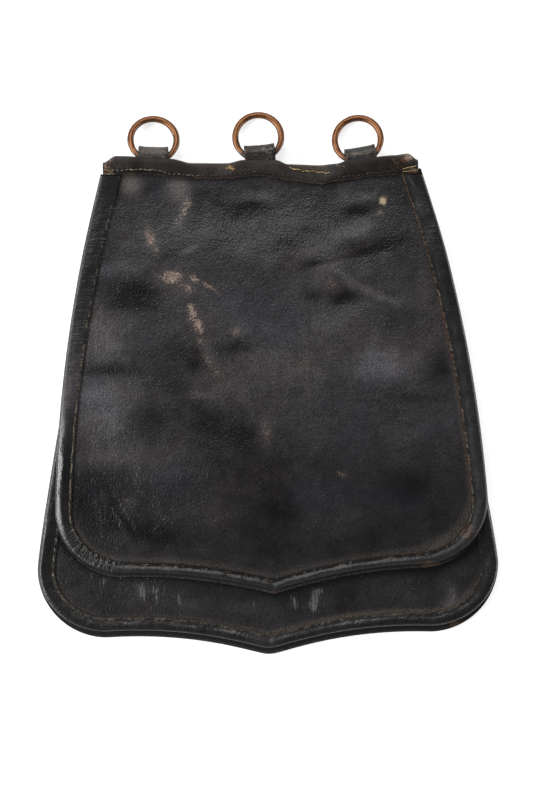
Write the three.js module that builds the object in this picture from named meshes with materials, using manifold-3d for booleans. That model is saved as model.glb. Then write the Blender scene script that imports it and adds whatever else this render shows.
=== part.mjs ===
// Sabretache: a flat leather pouch with a covering flap, a folded top band
// and three rings in leather loops.
// Millimetres. It lies on its back: +X to the right of the flap, +Y towards the rings, +Z out of the flap.
import * as THREE from "three";
import { mergeVertices } from "three/addons/utils/BufferGeometryUtils.js";
import Module from "manifold-3d";

const wasm = await Module();
wasm.setup();

const { clamp, degToRad, lerp, smoothstep } = THREE.MathUtils;

// Leather thicknesses, and the clearance between plies
const BACK = 2.0;
const FRONT = 1.8;
const LINING = 1.5;
const PANEL = 1.8;
const BINDING = 1.0;
const BAND = 1.6;
const STRAP = 1.4;
const GAP = 0.3;

// Outlines. Each half runs down a bowed side, round a corner and along a bowed bottom edge to the tip.
const TOP_Y = 146;
const TOP_HALF = 103.6;
const FLAP = {
  sideBow: { x: 137.1, y: 37.9 },
  sideEnd: { x: 143, y: -80 },
  corner: 45,
  bottomBow: { x: 50, y: -125 },
  tip: -139.3,
  sideRim: 0.4,
  bottomRim: 2.6,
  taper: 1.9,
  lean: 0.78,
};
const POUCH = {
  sideBow: { x: 150.3, y: -87.7 },
  sideEnd: { x: 153, y: -121 },
  corner: 46,
  bottomBow: { x: 50, y: -164.5 },
  tip: -180,
  sideRim: 0.6,
  bottomRim: 4.3,
  taper: 1.15,
  lean: 0,
};
const TIP_MITRE = 1.05;
const LEAN_EASE = 60;

// Shares of the outline's parameter that the side and the corner take. The bottom edge takes the rest.
const SIDE_SHARE = 0.36;
const CORNER_SHARE = 0.3;
const MID_CORNER = SIDE_SHARE + CORNER_SHARE / 2;

// Facets across and down each outline. The rows crowd together towards the top.
const FLAP_STEPS = { across: 20, down: 20 };
const LINING_STEPS = { across: 10, down: 20 };
const POUCH_STEPS = { across: 14, down: 16 };
const ROW_CROWDING = 1.25;
const BAND_STEPS = 44;
const LOOP_STEPS = 18;

// Heights along the bag: top edge of the plies, mouth of the pouch, where the flap bends down to the band,
// and the tops of the flap's binding
const PLY_TOP = 139.6;
const MOUTH = 75;
const FLAP_BEND = 132;
const FLAP_BINDING_TOP = { left: 138.1, right: 135.0 };

// The old leather curls off the surface towards the top corners
const CURL_FOOT = 40;
const CURL = { centre: 2.7, ends: 6.0, skew: 1.2 };

// Hollow of the pouch: its height, the seam round it, the length over which it rises from its foot,
// and how much of it is lost towards the top
const HOLLOW = 6;
const SEAM = 12;
const DOME_POWER = 1.5;
const HOLLOW_FOOT = -153;
const HOLLOW_RISE = 70;
const HOLLOW_LOSS = { from: -60, share: 0.55 };

// How far the flap sinks between the bindings at the sides of the pouch
const FLAP_SETTLE = 2;

// How far the flap's panel stands off its lining, the length over which it rises,
// and how steeply the dents fade towards the seam
const PUFF = 2.2;
const PUFF_FOOT = FLAP.tip + 26;
const PUFF_RISE = 38;
const PUFF_TOP = 45;
const DENT_FADE = 4;

// Main dents (negative rise) and ridges of the flap's panel: centre, half sizes, turn in degrees, rise
const DENTS = [
  { x: -86, y: 60, long: 18, wide: 14, turn: 0, rise: -2.2 },
  { x: -8, y: 110, long: 20, wide: 12, turn: 0, rise: -2.0 },
  { x: -50, y: 126, long: 36, wide: 8, turn: -4, rise: 1.5 },
  { x: 75, y: 126, long: 26, wide: 8, turn: 3, rise: 1.3 },
  { x: 68, y: 95, long: 24, wide: 8, turn: 15, rise: 1.8 },
  { x: 85, y: 88, long: 20, wide: 8, turn: 15, rise: -1.8 },
  { x: 67, y: 65, long: 34, wide: 8, turn: -25, rise: 1.6 },
  { x: 52, y: 54, long: 14, wide: 9, turn: 0, rise: -1.6 },
  { x: 83, y: 20, long: 34, wide: 24, turn: 0, rise: 1.6 },
  { x: 86, y: -6, long: 44, wide: 7, turn: -3, rise: -1.4 },
  { x: -75, y: 9, long: 40, wide: 8, turn: -5, rise: -1.4 },
  { x: -100, y: -26, long: 25, wide: 28, turn: 0, rise: 1.5 },
  { x: 94, y: -68, long: 30, wide: 22, turn: 20, rise: -1.8 },
  { x: -104, y: -72, long: 22, wide: 20, turn: 0, rise: -1.4 },
  { x: -46, y: -2, long: 20, wide: 28, turn: 15, rise: -1.2 },
];

// Folded binding: stations of its section from the rear lip round the edge to the front lip
const BINDING_FOLD = PANEL / 2 + GAP + BINDING;
const BINDING_CROWN = 0.8;
const BINDING_SECTION = [
  { inward: 8, turn: -90, crown: 0 },
  { inward: BINDING_FOLD, turn: -90, crown: 0 },
  { inward: BINDING_FOLD, turn: -30, crown: 0 },
  { inward: BINDING_FOLD, turn: 30, crown: 0 },
  { inward: BINDING_FOLD, turn: 90, crown: 0.2 },
  { inward: 6, turn: 90, crown: BINDING_CROWN },
  { inward: 10, turn: 90, crown: 0 },
];

// Top band: its upper and lower edges along X, and stations of its section
// from the rear foot to the front foot
const BAND_EDGES = [
  { x: -103.6, top: 147.5, foot: 138.9 },
  { x: -95, top: 151.8, foot: 138.7 },
  { x: -72, top: 150.2, foot: 138.6 },
  { x: -59, top: 149.4, foot: 136.2 },
  { x: -45, top: 146.7, foot: 135.0 },
  { x: -22, top: 146.4, foot: 135.3 },
  { x: -12, top: 148.0, foot: 136.0 },
  { x: 0, top: 148.0, foot: 136.8 },
  { x: 10, top: 147.6, foot: 135.0 },
  { x: 18, top: 145.0, foot: 133.3 },
  { x: 40, top: 144.0, foot: 130.6 },
  { x: 50, top: 144.6, foot: 132.0 },
  { x: 60, top: 147.0, foot: 133.2 },
  { x: 72, top: 147.9, foot: 134.8 },
  { x: 88, top: 149.3, foot: 135.4 },
  { x: 97, top: 150.2, foot: 135.8 },
  { x: 103.6, top: 146.0, foot: 136.5 },
];
const BAND_SECTION = [
  { share: 0, turn: -90, lift: 0 },
  { share: 1, turn: -90, lift: 0 },
  { share: 1, turn: -45, lift: 0.25 },
  { share: 1, turn: 0, lift: 0.5 },
  { share: 1, turn: 45, lift: 0.75 },
  { share: 1, turn: 90, lift: 1 },
  { share: 0.67, turn: 90, lift: 1 },
  { share: 0.34, turn: 90, lift: 1 },
  { share: 0, turn: 90, lift: 0.25 },
];
const BAND_FOLD = 3.2;
const BAND_FOLD_AT_LOOP = 1.0;

// Ring loops: centre of the hinge axis, and how far the loop is rolled in the plane of the bag
const LOOPS = [
  { name: "left", x: -70.6, y: 149.8, roll: -2 },
  { name: "centre", x: -0.3, y: 150.3, roll: 4 },
  { name: "right", x: 66.4, y: 147.5, roll: 9 },
];
const LOOP_WIDTH = 19.2;
const LOOP_BORE_RADIUS = 4.6;
const LOOP_REACH = 1.2;
const LOOP_TAIL = 8;
const LOOP_WRAP = -170;
const LOOP_PLATEAU = { inner: 14.2, outer: 20 };
const SLOT = { half: 17.8, below: 6.4, above: 14, under: 4 };

// Rings: radius of the wire's centre line, wire radius, and how far the hinge axis lies inside that line
const RING_RADIUS = 15.2;
const WIRE_RADIUS = 2;
const AXIS_INSET = 2.1;
const RING_SIDES = { wire: 8, round: 28 };
const FLOOR_GAP = 0.05;

// Heights of the plies above the back of the pouch
const POUCH_FRONT_Z = BACK + GAP + BINDING + GAP;
const FLAP_Z = POUCH_FRONT_Z + FRONT + GAP + BINDING + BINDING_CROWN + 2 * GAP;
const FLAP_PANEL_Z = LINING + GAP + BINDING + GAP;
const PLY_STACK = BACK + GAP + FLAP_PANEL_Z + PANEL;
const STRAP_STACK = 2 * STRAP + GAP;
const LOOP_RADIUS = LOOP_BORE_RADIUS + STRAP / 2;
const AXIS_Z = PLY_STACK + GAP + STRAP_STACK - STRAP / 2 - LOOP_RADIUS;

const LEATHER = new THREE.MeshStandardMaterial({ color: 0x2b2b2e, roughness: 0.55, metalness: 0 });
const WORN_LEATHER = new THREE.MeshStandardMaterial({ color: 0x3a352f, roughness: 0.65, metalness: 0 });
const COPPER = new THREE.MeshStandardMaterial({ color: 0xb0764a, roughness: 0.35, metalness: 1 });

// A point on the right half of an outline, set in from the edge,
// at a share of the way from the top to the tip.
function outlinePoint(size, sideInset, bottomInset, topHeight, share) {
  const end = new THREE.Vector2(size.sideEnd.x - sideInset, size.sideEnd.y);
  const lobe = new THREE.Vector2(size.sideEnd.x - size.corner, size.sideEnd.y - size.corner + bottomInset);
  if (share <= SIDE_SHARE) {
    const top = new THREE.Vector2(TOP_HALF - sideInset, TOP_Y);
    const bow = new THREE.Vector2(size.sideBow.x - sideInset, size.sideBow.y);
    const side = new THREE.QuadraticBezierCurve(top, bow, end);
    const start = shareAtHeight(side, topHeight);
    return side.getPoint(lerp(start, 1, share / SIDE_SHARE));
  }
  if (share <= SIDE_SHARE + CORNER_SHARE) {
    const reach = { x: end.x - lobe.x, y: end.y - lobe.y };
    const corner = new THREE.EllipseCurve(lobe.x, end.y, reach.x, reach.y, 0, -Math.PI / 2, true);
    return corner.getPoint((share - SIDE_SHARE) / CORNER_SHARE);
  }
  const bow = new THREE.Vector2(size.bottomBow.x, size.bottomBow.y + bottomInset);
  const tip = new THREE.Vector2(0, size.tip + bottomInset * TIP_MITRE);
  const bottom = new THREE.QuadraticBezierCurve(lobe, bow, tip);
  return bottom.getPoint((share - SIDE_SHARE - CORNER_SHARE) / (1 - SIDE_SHARE - CORNER_SHARE));
}

// Where a curve that only falls passes a height.
function shareAtHeight(curve, height) {
  let above = 0;
  let below = 1;
  for (let step = 0; step < 30; step += 1) {
    const middle = (above + below) / 2;
    if (curve.getPoint(middle).y > height) {
      above = middle;
    } else {
      below = middle;
    }
  }
  return above;
}

// Turn a point about the middle of the top edge, as a flap that hangs a little askew from a level top.
function leaned(point, degrees) {
  const slope = Math.sin(degToRad(degrees));
  const depth = TOP_Y - point.y;
  const eased = clamp(depth / LEAN_EASE, 0, 1);
  return new THREE.Vector2(point.x + slope * depth, point.y + slope * point.x * eased);
}

// Height of the curled back above the surface that the bag lies on.
function curl(x, y) {
  const reach = clamp((y - CURL_FOOT) / (TOP_Y - CURL_FOOT), 0, 1);
  const side = x / TOP_HALF;
  return reach ** 2 * (CURL.centre + CURL.ends * side ** 2 - CURL.skew * side);
}

// Dome over the inside of an outline: 0 at its seam and 1 in the middle.
function dome(size, x, y, foot, rise) {
  const down = clamp((y - size.sideEnd.y) / (TOP_Y - size.sideEnd.y), 0, 1);
  const half = size.sideEnd.x - (size.sideEnd.x - TOP_HALF) * down ** size.taper - SEAM;
  const across = clamp(1 - (x / half) ** 2, 0, 1);
  return across ** DOME_POWER * smoothstep(y, foot, foot + rise);
}

function hollow(x, y) {
  const lost = HOLLOW_LOSS.share * smoothstep(y, HOLLOW_LOSS.from, TOP_Y);
  return HOLLOW * dome(POUCH, x, y, HOLLOW_FOOT, HOLLOW_RISE) * (1 - lost);
}

// Underside of the flap: on the pouch below the mouth, down on the back where the top band holds it.
function flapBase(x, y) {
  const lowered = smoothstep(y, MOUTH, FLAP_BEND);
  const settled = FLAP_SETTLE * dome(POUCH, x, y, HOLLOW_FOOT, HOLLOW_RISE);
  return curl(x, y) + lerp(FLAP_Z + hollow(x, y) - settled, BACK + GAP, lowered);
}

function dents(x, y) {
  let rise = 0;
  for (const dent of DENTS) {
    const spot = new THREE.Vector2(x - dent.x, y - dent.y);
    spot.rotateAround(new THREE.Vector2(), -degToRad(dent.turn));
    rise += dent.rise * Math.exp(-((spot.x / dent.long) ** 2) - (spot.y / dent.wide) ** 2);
  }
  return rise;
}

// How far the flap's panel stands off its lining, with its dents.
function puff(x, y) {
  const inside = dome(FLAP, x, y, PUFF_FOOT, PUFF_RISE) * (1 - smoothstep(y, PUFF_TOP, FLAP_BEND));
  const fade = Math.sqrt(inside) * Math.min(1, inside * DENT_FADE);
  return Math.max((PUFF + dents(x, y)) * fade, -BINDING);
}

// A closed wall: a box whose corners are moved to place(across, along, through), each from 0 to 1.
function wall(acrossSteps, alongSteps, place) {
  const geometry = new THREE.BoxGeometry(1, 1, 1, acrossSteps, alongSteps, 1);
  geometry.deleteAttribute("normal");
  geometry.deleteAttribute("uv");
  const corners = geometry.attributes.position;
  for (let i = 0; i < corners.count; i += 1) {
    const spot = place(corners.getX(i) + 0.5, 0.5 - corners.getY(i), corners.getZ(i) + 0.5);
    corners.setXYZ(i, spot.x, spot.y, spot.z);
  }
  return mergeVertices(geometry);
}

// A point inside an outline: across from the left edge to the right, down from the top edge to the bottom.
function panelPoint(size, inset, topHeight, across, row) {
  const sideInset = size.sideRim * inset.rims + inset.mm;
  const bottomInset = size.bottomRim * inset.rims + inset.mm;
  const edge = (share) => outlinePoint(size, sideInset, bottomInset, topHeight, share);
  const side = 2 * across - 1;
  const half = Math.abs(side);
  const down = row ** ROW_CROWDING;
  const right = edge(MID_CORNER * down);
  const foot = edge(1 - (1 - MID_CORNER) * half);
  const corner = edge(MID_CORNER);
  const topCorner = edge(0);
  const tip = edge(1);
  const axisY = lerp(topCorner.y, tip.y, down);
  const straight = half * lerp(topCorner.x, corner.x, down);
  const x = lerp(half * topCorner.x, foot.x, down) + half * right.x - straight;
  const byRows = lerp(topCorner.y, foot.y, down);
  const byColumns = lerp(axisY, right.y, half);
  const byCorners = lerp(axisY, lerp(topCorner.y, corner.y, down), half);
  return new THREE.Vector2(Math.sign(side) * x, byRows + byColumns - byCorners);
}

// A panel of leather: base gives the height of its underside from its own and its leaned place.
function panel(size, inset, topHeight, steps, thickness, base) {
  return wall(steps.across, steps.down, (across, down, through) => {
    const own = panelPoint(size, inset, topHeight, across, down);
    const spot = leaned(own, size.lean);
    return new THREE.Vector3(spot.x, spot.y, base(own, spot) + through * thickness);
  });
}

// Share of the outline at a step down from the top, in line with the rows and columns of the panel inside.
function stepShare(step, steps) {
  if (step <= steps.down) {
    return MID_CORNER * (step / steps.down) ** ROW_CROWDING;
  }
  return lerp(MID_CORNER, 1, (step - steps.down) / (steps.across / 2));
}

// A strip folded round the edge of a panel: down the left side, round the tip and up the right side.
function binding(size, panelTop, tops, base, steps) {
  const last = BINDING_SECTION.length - 1;
  const halfSteps = steps.down + steps.across / 2;
  return wall(last, 2 * halfSteps, (across, along, through) => {
    const station = BINDING_SECTION[Math.round(across * last)];
    const side = 2 * along - 1;
    const step = halfSteps - Math.round(halfSteps * Math.abs(side));
    const ownTop = side < 0 ? tops.left : tops.right;
    const topHeight = step === 0 ? ownTop : panelTop;
    const radius = BINDING_FOLD - BINDING + through * BINDING;
    const inward = station.inward - radius * Math.cos(degToRad(station.turn));
    const up = BINDING_FOLD + radius * Math.sin(degToRad(station.turn)) + station.crown;
    const share = stepShare(step, steps);
    const edge = outlinePoint(size, size.sideRim + inward, size.bottomRim + inward, topHeight, share);
    const spot = leaned(new THREE.Vector2(Math.sign(side) * edge.x, edge.y), size.lean);
    return new THREE.Vector3(spot.x, spot.y, base(spot.x, spot.y) + up);
  });
}

// Upper and lower edge of the top band at a place along X.
function bandEdges(x) {
  const next = clamp(BAND_EDGES.findIndex((edge) => edge.x >= x), 1, BAND_EDGES.length - 1);
  const left = BAND_EDGES[next - 1];
  const right = BAND_EDGES[next];
  const share = smoothstep(x, left.x, right.x);
  return { top: lerp(left.top, right.top, share), foot: lerp(left.foot, right.foot, share) };
}

// 1 over a ring loop, 0 between loops.
function overLoop(x) {
  const away = Math.min(...LOOPS.map((loop) => Math.abs(x - loop.x)));
  return 1 - smoothstep(away, LOOP_PLATEAU.inner, LOOP_PLATEAU.outer);
}

// The folded strip along the top, before its slots are cut.
function bandStrip(steps) {
  const last = BAND_SECTION.length - 1;
  return wall(last, steps, (across, along, through) => {
    const station = BAND_SECTION[Math.round(across * last)];
    const x = lerp(TOP_HALF, -TOP_HALF, along);
    const edges = bandEdges(x);
    const overStrap = overLoop(x);
    const front = PLY_STACK + 2 * GAP + overStrap * station.lift * (STRAP_STACK + GAP) + BAND / 2;
    const rear = -GAP - BAND / 2;
    const outward = (through - 0.5) * BAND;
    const fold = lerp(BAND_FOLD, BAND_FOLD_AT_LOOP, overStrap);
    const leafTop = edges.top - fold - BAND / 2;
    const turn = degToRad(station.turn);
    const y = lerp(edges.foot, leafTop, station.share) + (fold + outward) * Math.cos(turn);
    const z = (front + rear) / 2 + ((front - rear) / 2 + outward) * Math.sin(turn);
    return new THREE.Vector3(x, y, curl(x, y) + z);
  });
}

// A place near a loop, from its own axes: sideways, up the bag and out of the bag.
function loopPlace(loop, sideways, up, out) {
  const turned = new THREE.Vector2(sideways, up).rotateAround(new THREE.Vector2(), degToRad(loop.roll));
  const x = loop.x + turned.x;
  return new THREE.Vector3(x, loop.y + turned.y, curl(x, TOP_Y) + AXIS_Z + out);
}

// Space that a ring needs through the fold and the rear leaf of the band.
function slotSpace(loop) {
  return wall(4, 1, (across, along, through) => {
    const sideways = lerp(-SLOT.half, SLOT.half, across);
    const up = lerp(SLOT.above, -SLOT.below, along);
    const rear = -AXIS_Z - SLOT.under;
    const front = PLY_STACK + STRAP_STACK + 2 * GAP - AXIS_Z + GAP / 2;
    return loopPlace(loop, sideways, up, lerp(rear, front, through));
  });
}

// The strap of a ring loop: a front ply, a bow round the ring's wire,
// and a rear ply back under the front one.
function loopStrap(loop) {
  const rearPly = LOOP_RADIUS - STRAP - GAP;
  const wrap = degToRad(LOOP_WRAP);
  const leave = new THREE.Vector2(LOOP_RADIUS * Math.cos(wrap), LOOP_RADIUS * Math.sin(wrap));
  const slope = Math.sin(wrap) / -Math.cos(wrap);
  const bend = new THREE.Vector2(leave.x + (rearPly - leave.y) * slope, rearPly);
  const path = new THREE.Path();
  path.moveTo(-LOOP_TAIL, LOOP_RADIUS);
  path.lineTo(LOOP_REACH, LOOP_RADIUS);
  path.absarc(LOOP_REACH, 0, LOOP_RADIUS, Math.PI / 2, -Math.PI / 2, true);
  path.lineTo(0, -LOOP_RADIUS);
  path.absarc(0, 0, LOOP_RADIUS, -Math.PI / 2, wrap, true);
  path.lineTo(bend.x, bend.y);
  path.lineTo(-LOOP_TAIL, rearPly);
  return wall(2, LOOP_STEPS, (across, along, through) => {
    const middle = path.getPoint(along);
    const tangent = path.getTangent(along);
    const outward = (through - 0.5) * STRAP;
    const up = middle.x - tangent.y * outward;
    const out = middle.y + tangent.x * outward;
    return loopPlace(loop, lerp(LOOP_WIDTH / 2, -LOOP_WIDTH / 2, across), up, out);
  });
}

function asSolid(geometry) {
  const vertProperties = new Float32Array(geometry.attributes.position.array);
  const triVerts = new Uint32Array(geometry.index.array);
  return new wasm.Manifold(new wasm.Mesh({ numProp: 3, vertProperties, triVerts }));
}

function asGeometry(solid) {
  const mesh = solid.getMesh();
  const geometry = new THREE.BufferGeometry();
  geometry.setAttribute("position", new THREE.BufferAttribute(mesh.vertProperties, 3));
  geometry.setIndex(new THREE.BufferAttribute(mesh.triVerts, 1));
  return geometry;
}

function topBand() {
  let strip = asSolid(bandStrip(BAND_STEPS));
  for (const loop of LOOPS) {
    strip = strip.subtract(asSolid(slotSpace(loop)));
  }
  return asGeometry(strip);
}

// How far a ring tips down from the plane of the bag before its far side lies on the surface.
function restTilt(axisHeight, pitch) {
  let high = 0;
  let low = Math.PI / 2;
  for (let step = 0; step < 40; step += 1) {
    const tilt = (high + low) / 2;
    const centre = axisHeight - (RING_RADIUS - AXIS_INSET) * Math.sin(tilt) * Math.cos(pitch);
    const drop = RING_RADIUS * Math.sqrt(1 - (Math.cos(tilt) * Math.cos(pitch)) ** 2) + WIRE_RADIUS;
    if (centre - drop > FLOOR_GAP) {
      high = tilt;
    } else {
      low = tilt;
    }
  }
  return high;
}

// A ring on its hinge axis, which follows the curl and the roll of its loop.
function ringOnHinge(loop) {
  const geometry = new THREE.TorusGeometry(RING_RADIUS, WIRE_RADIUS, RING_SIDES.wire, RING_SIDES.round);
  geometry.deleteAttribute("normal");
  geometry.deleteAttribute("uv");
  const ring = new THREE.Mesh(mergeVertices(geometry), COPPER);
  ring.name = `ring_${loop.name}`;
  ring.position.set(0, RING_RADIUS - AXIS_INSET, 0);
  const hinge = new THREE.Group();
  hinge.position.copy(loopPlace(loop, 0, 0, 0));
  const oneSide = loopPlace(loop, LOOP_WIDTH / 2, 0, 0);
  const pitch = Math.atan2(oneSide.z - hinge.position.z, LOOP_WIDTH / 2);
  hinge.rotation.set(-restTilt(hinge.position.z, pitch), -pitch, degToRad(loop.roll), "ZYX");
  hinge.add(ring);
  return hinge;
}

const sabretache = new THREE.Group();

function addPiece(name, geometry, material) {
  const mesh = new THREE.Mesh(geometry, material);
  mesh.name = name;
  sabretache.add(mesh);
}

const AT_EDGE = { rims: 0, mm: 0 };
const INSIDE_BINDING = { rims: 1, mm: BINDING_FOLD };
const MOUTH_TOPS = { left: MOUTH, right: MOUTH };

addPiece(
  "pouch_back",
  panel(POUCH, AT_EDGE, PLY_TOP, POUCH_STEPS, BACK, (own, spot) => curl(spot.x, spot.y)),
  LEATHER,
);
addPiece(
  "pouch_front",
  panel(POUCH, INSIDE_BINDING, MOUTH, POUCH_STEPS, FRONT, (own, spot) =>
    curl(spot.x, spot.y) + POUCH_FRONT_Z + hollow(spot.x, spot.y)),
  LEATHER,
);
addPiece(
  "pouch_binding",
  binding(POUCH, MOUTH, MOUTH_TOPS, (x, y) => curl(x, y) + BACK + GAP, POUCH_STEPS),
  WORN_LEATHER,
);
addPiece(
  "flap_lining",
  panel(FLAP, AT_EDGE, PLY_TOP, LINING_STEPS, LINING, (own, spot) => flapBase(spot.x, spot.y)),
  LEATHER,
);
addPiece(
  "flap_panel",
  panel(FLAP, INSIDE_BINDING, PLY_TOP, FLAP_STEPS, PANEL, (own, spot) =>
    flapBase(spot.x, spot.y) + FLAP_PANEL_Z + puff(own.x, own.y)),
  LEATHER,
);
addPiece(
  "flap_binding",
  binding(FLAP, PLY_TOP, FLAP_BINDING_TOP, (x, y) => flapBase(x, y) + LINING + GAP, FLAP_STEPS),
  WORN_LEATHER,
);
addPiece("top_band", topBand(), WORN_LEATHER);
for (const loop of LOOPS) {
  addPiece(`ring_loop_${loop.name}`, loopStrap(loop), LEATHER);
  sabretache.add(ringOnHinge(loop));
}

export default sabretache;
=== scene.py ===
# Sabretache: the looks of the leather pouch, its flap, top band, loops, rings and stitching.
# Sizes are in millimetres until a mesh is made. +X right, +Y towards the rings, +Z out of the flap.
import math
from collections import namedtuple
from types import SimpleNamespace

import bpy
import numpy as np
from mathutils import Matrix, Vector


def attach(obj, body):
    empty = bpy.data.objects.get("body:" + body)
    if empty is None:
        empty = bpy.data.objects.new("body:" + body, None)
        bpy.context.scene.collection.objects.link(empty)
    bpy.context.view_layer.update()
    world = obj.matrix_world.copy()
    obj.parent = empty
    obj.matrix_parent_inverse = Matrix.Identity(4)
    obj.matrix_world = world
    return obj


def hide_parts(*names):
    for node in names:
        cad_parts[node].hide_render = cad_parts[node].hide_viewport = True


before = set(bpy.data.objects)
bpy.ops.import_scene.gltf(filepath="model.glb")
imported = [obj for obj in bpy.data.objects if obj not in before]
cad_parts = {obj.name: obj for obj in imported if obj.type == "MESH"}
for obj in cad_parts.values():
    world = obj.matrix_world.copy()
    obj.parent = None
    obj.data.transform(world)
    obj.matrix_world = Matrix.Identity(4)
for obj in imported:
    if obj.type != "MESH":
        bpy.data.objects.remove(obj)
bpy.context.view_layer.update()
MM = 0.001

# Leather thicknesses and clearances, as in the solids
BACK, FRONT, LINING, PANEL = 2.0, 1.8, 1.5, 1.8
BINDING, BAND, STRAP, GAP = 1.0, 1.6, 1.4, 0.3

# Outlines: a bowed side, a round corner and a bowed bottom edge that ends in a tip
TOP_Y, TOP_HALF = 146.0, 103.6
FLAP = SimpleNamespace(
    bow_x=137.1, bow_y=37.9, end_x=143.0, end_y=-80.0, corner=45.0,
    bottom_x=50.0, bottom_y=-125.0, tip=-139.3, soft_tip=0.6,
    side_rim=0.4, bottom_rim=2.6, taper=1.9, lean=0.78, full_at=0.44, full_bottom=0.25,
    lips=((0.0, 14.0), (0.18, 12.2), (0.36, 10.9), (0.5, 9.6), (0.7, 7.0), (1.0, 7.0)),
)
POUCH = SimpleNamespace(
    bow_x=150.3, bow_y=-87.7, end_x=153.0, end_y=-121.0, corner=46.0,
    bottom_x=50.0, bottom_y=-164.5, tip=-181.6, soft_tip=5.0,
    side_rim=0.6, bottom_rim=4.3, taper=1.15, lean=0.0, full_at=0.22, full_bottom=0.0,
    lips=((0.0, 11.2), (0.36, 11.2), (0.5, 10.4), (0.7, 8.8), (1.0, 8.8)),
)
TIP_MITRE, LEAN_EASE = 1.05, 60.0
SIDE_SHARE, CORNER_SHARE = 0.36, 0.3
MID_CORNER = SIDE_SHARE + CORNER_SHARE / 2
TIP_SLOPE = 0.34

# Heights along the bag, curl of the old leather, hollow of the pouch and stand of the flap's panel
PLY_TOP, MOUTH, FLAP_BEND = 139.6, 75.0, 132.0
BINDING_TOP_LEFT, BINDING_TOP_RIGHT = 138.1, 135.0
CURL_FOOT, CURL_CENTRE, CURL_ENDS, CURL_SKEW = 40.0, 2.7, 6.0, 1.2
HOLLOW, SEAM, DOME_POWER, HOLLOW_FOOT, HOLLOW_RISE = 6.0, 12.0, 1.5, -153.0, 70.0
HOLLOW_LOSS_FROM, HOLLOW_LOSS, FLAP_SETTLE = -60.0, 0.55, 2.0
PUFF, PUFF_FOOT, PUFF_RISE, PUFF_TOP, DENT_FADE = 2.2, FLAP.tip + 26.0, 38.0, 45.0, 4.0

# Stack of plies, folded binding, top band and ring loops
BINDING_FOLD = PANEL / 2 + GAP + BINDING
BINDING_CROWN, REAR_LIP, LIP_SKIVE = 0.8, 8.0, 0.5
FLAT_LIP, STITCH_INSET = 1.5, 1.2
POUCH_FRONT_Z = BACK + GAP + BINDING + GAP
FLAP_Z = POUCH_FRONT_Z + FRONT + GAP + BINDING + BINDING_CROWN + 2 * GAP
FLAP_PANEL_Z = LINING + GAP + BINDING + GAP
PLY_STACK = BACK + GAP + FLAP_PANEL_Z + PANEL
STRAP_STACK = 2 * STRAP + GAP
BAND_FOLD, BAND_FOLD_AT_LOOP = 3.2, 1.0
LOOP_BORE_RADIUS, LOOP_REACH, LOOP_TAIL, LOOP_WRAP = 4.6, 1.2, 8.0, -170.0
LOOP_RADIUS = LOOP_BORE_RADIUS + STRAP / 2
AXIS_Z = PLY_STACK + GAP + STRAP_STACK - STRAP / 2 - LOOP_RADIUS
PLATEAU_INNER, PLATEAU_OUTER, SLOT_HALF = 11.6, 31.0, 17.8
RING_RADIUS, WIRE_RADIUS, AXIS_INSET, FLOOR_GAP = 15.2, 2.0, 2.1, 0.05


def table_of(kind, *values):
    """A table with named columns."""
    return tuple(kind(*row) for row in values)


# Ring loops: place of the hinge axis, roll in degrees, width of the strap and how pale it is
Loop = namedtuple("Loop", "name x y roll width pale")
LOOPS = table_of(
    Loop,
    ("left", -70.6, 149.8, -2.0, 19.4, 0.58),
    ("centre", -0.3, 150.3, 4.0, 20.4, 0.14),
    ("right", 66.4, 147.5, 9.0, 20.2, 0.2),
)

# Upper and lower edge of the top band along X
Edge = namedtuple("Edge", "x top foot")
BAND_EDGES = table_of(
    Edge,
    (-103.6, 147.5, 138.9), (-95, 151.8, 138.7), (-72, 150.2, 138.6),
    (-59, 149.4, 136.2), (-45, 146.7, 135.0), (-22, 146.4, 135.3),
    (-12, 148.0, 136.0), (0, 148.0, 136.8), (10, 147.6, 135.0),
    (18, 145.0, 133.3), (40, 144.0, 130.6), (50, 144.6, 132.0),
    (60, 147.0, 133.2), (72, 147.9, 134.8), (88, 149.3, 135.4),
    (97, 150.2, 135.8), (103.6, 146.0, 136.5),
)

# Main dents and ridges of the flap's panel: centre, half sizes and turn on the bag, and height as strength
Mark = namedtuple("Mark", "x y long wide turn strength")
DENTS = table_of(
    Mark,
    (-86, 60, 18, 14, 0, -2.2), (-8, 110, 20, 12, 0, -2.0), (-50, 126, 36, 8, -4, 1.5),
    (75, 126, 26, 8, 3, 1.3), (68, 95, 24, 8, 15, 1.8), (85, 88, 20, 8, 15, -1.8),
    (67, 65, 34, 8, -25, 1.6), (52, 54, 14, 9, 0, -1.6), (83, 20, 34, 24, 0, 1.6),
    (86, -6, 44, 7, -3, -1.4), (-75, 9, 40, 8, -5, -1.4), (-100, -26, 25, 28, 0, 1.5),
    (94, -68, 30, 22, 20, -1.8), (-104, -72, 22, 20, 0, -1.4), (-46, -2, 20, 28, 15, -1.2),
)

# Camera: straight above, with the bag turned a little in the picture
PICTURE_WIDTH, PICTURE_HEIGHT = 533, 800
LENS, SENSOR = 85.0, 36.0
FOCAL_PX = PICTURE_HEIGHT * LENS / SENSOR
MM_PER_PX, FOCUS_Z = 0.66, 10.0
CAMERA_HEIGHT = FOCAL_PX * MM_PER_PX + FOCUS_Z
CAMERA_X, CAMERA_Y, CAMERA_ROLL = 1.1, -11.2, 1.04
ROLL_COS, ROLL_SIN = math.cos(math.radians(CAMERA_ROLL)), math.sin(math.radians(CAMERA_ROLL))

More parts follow.
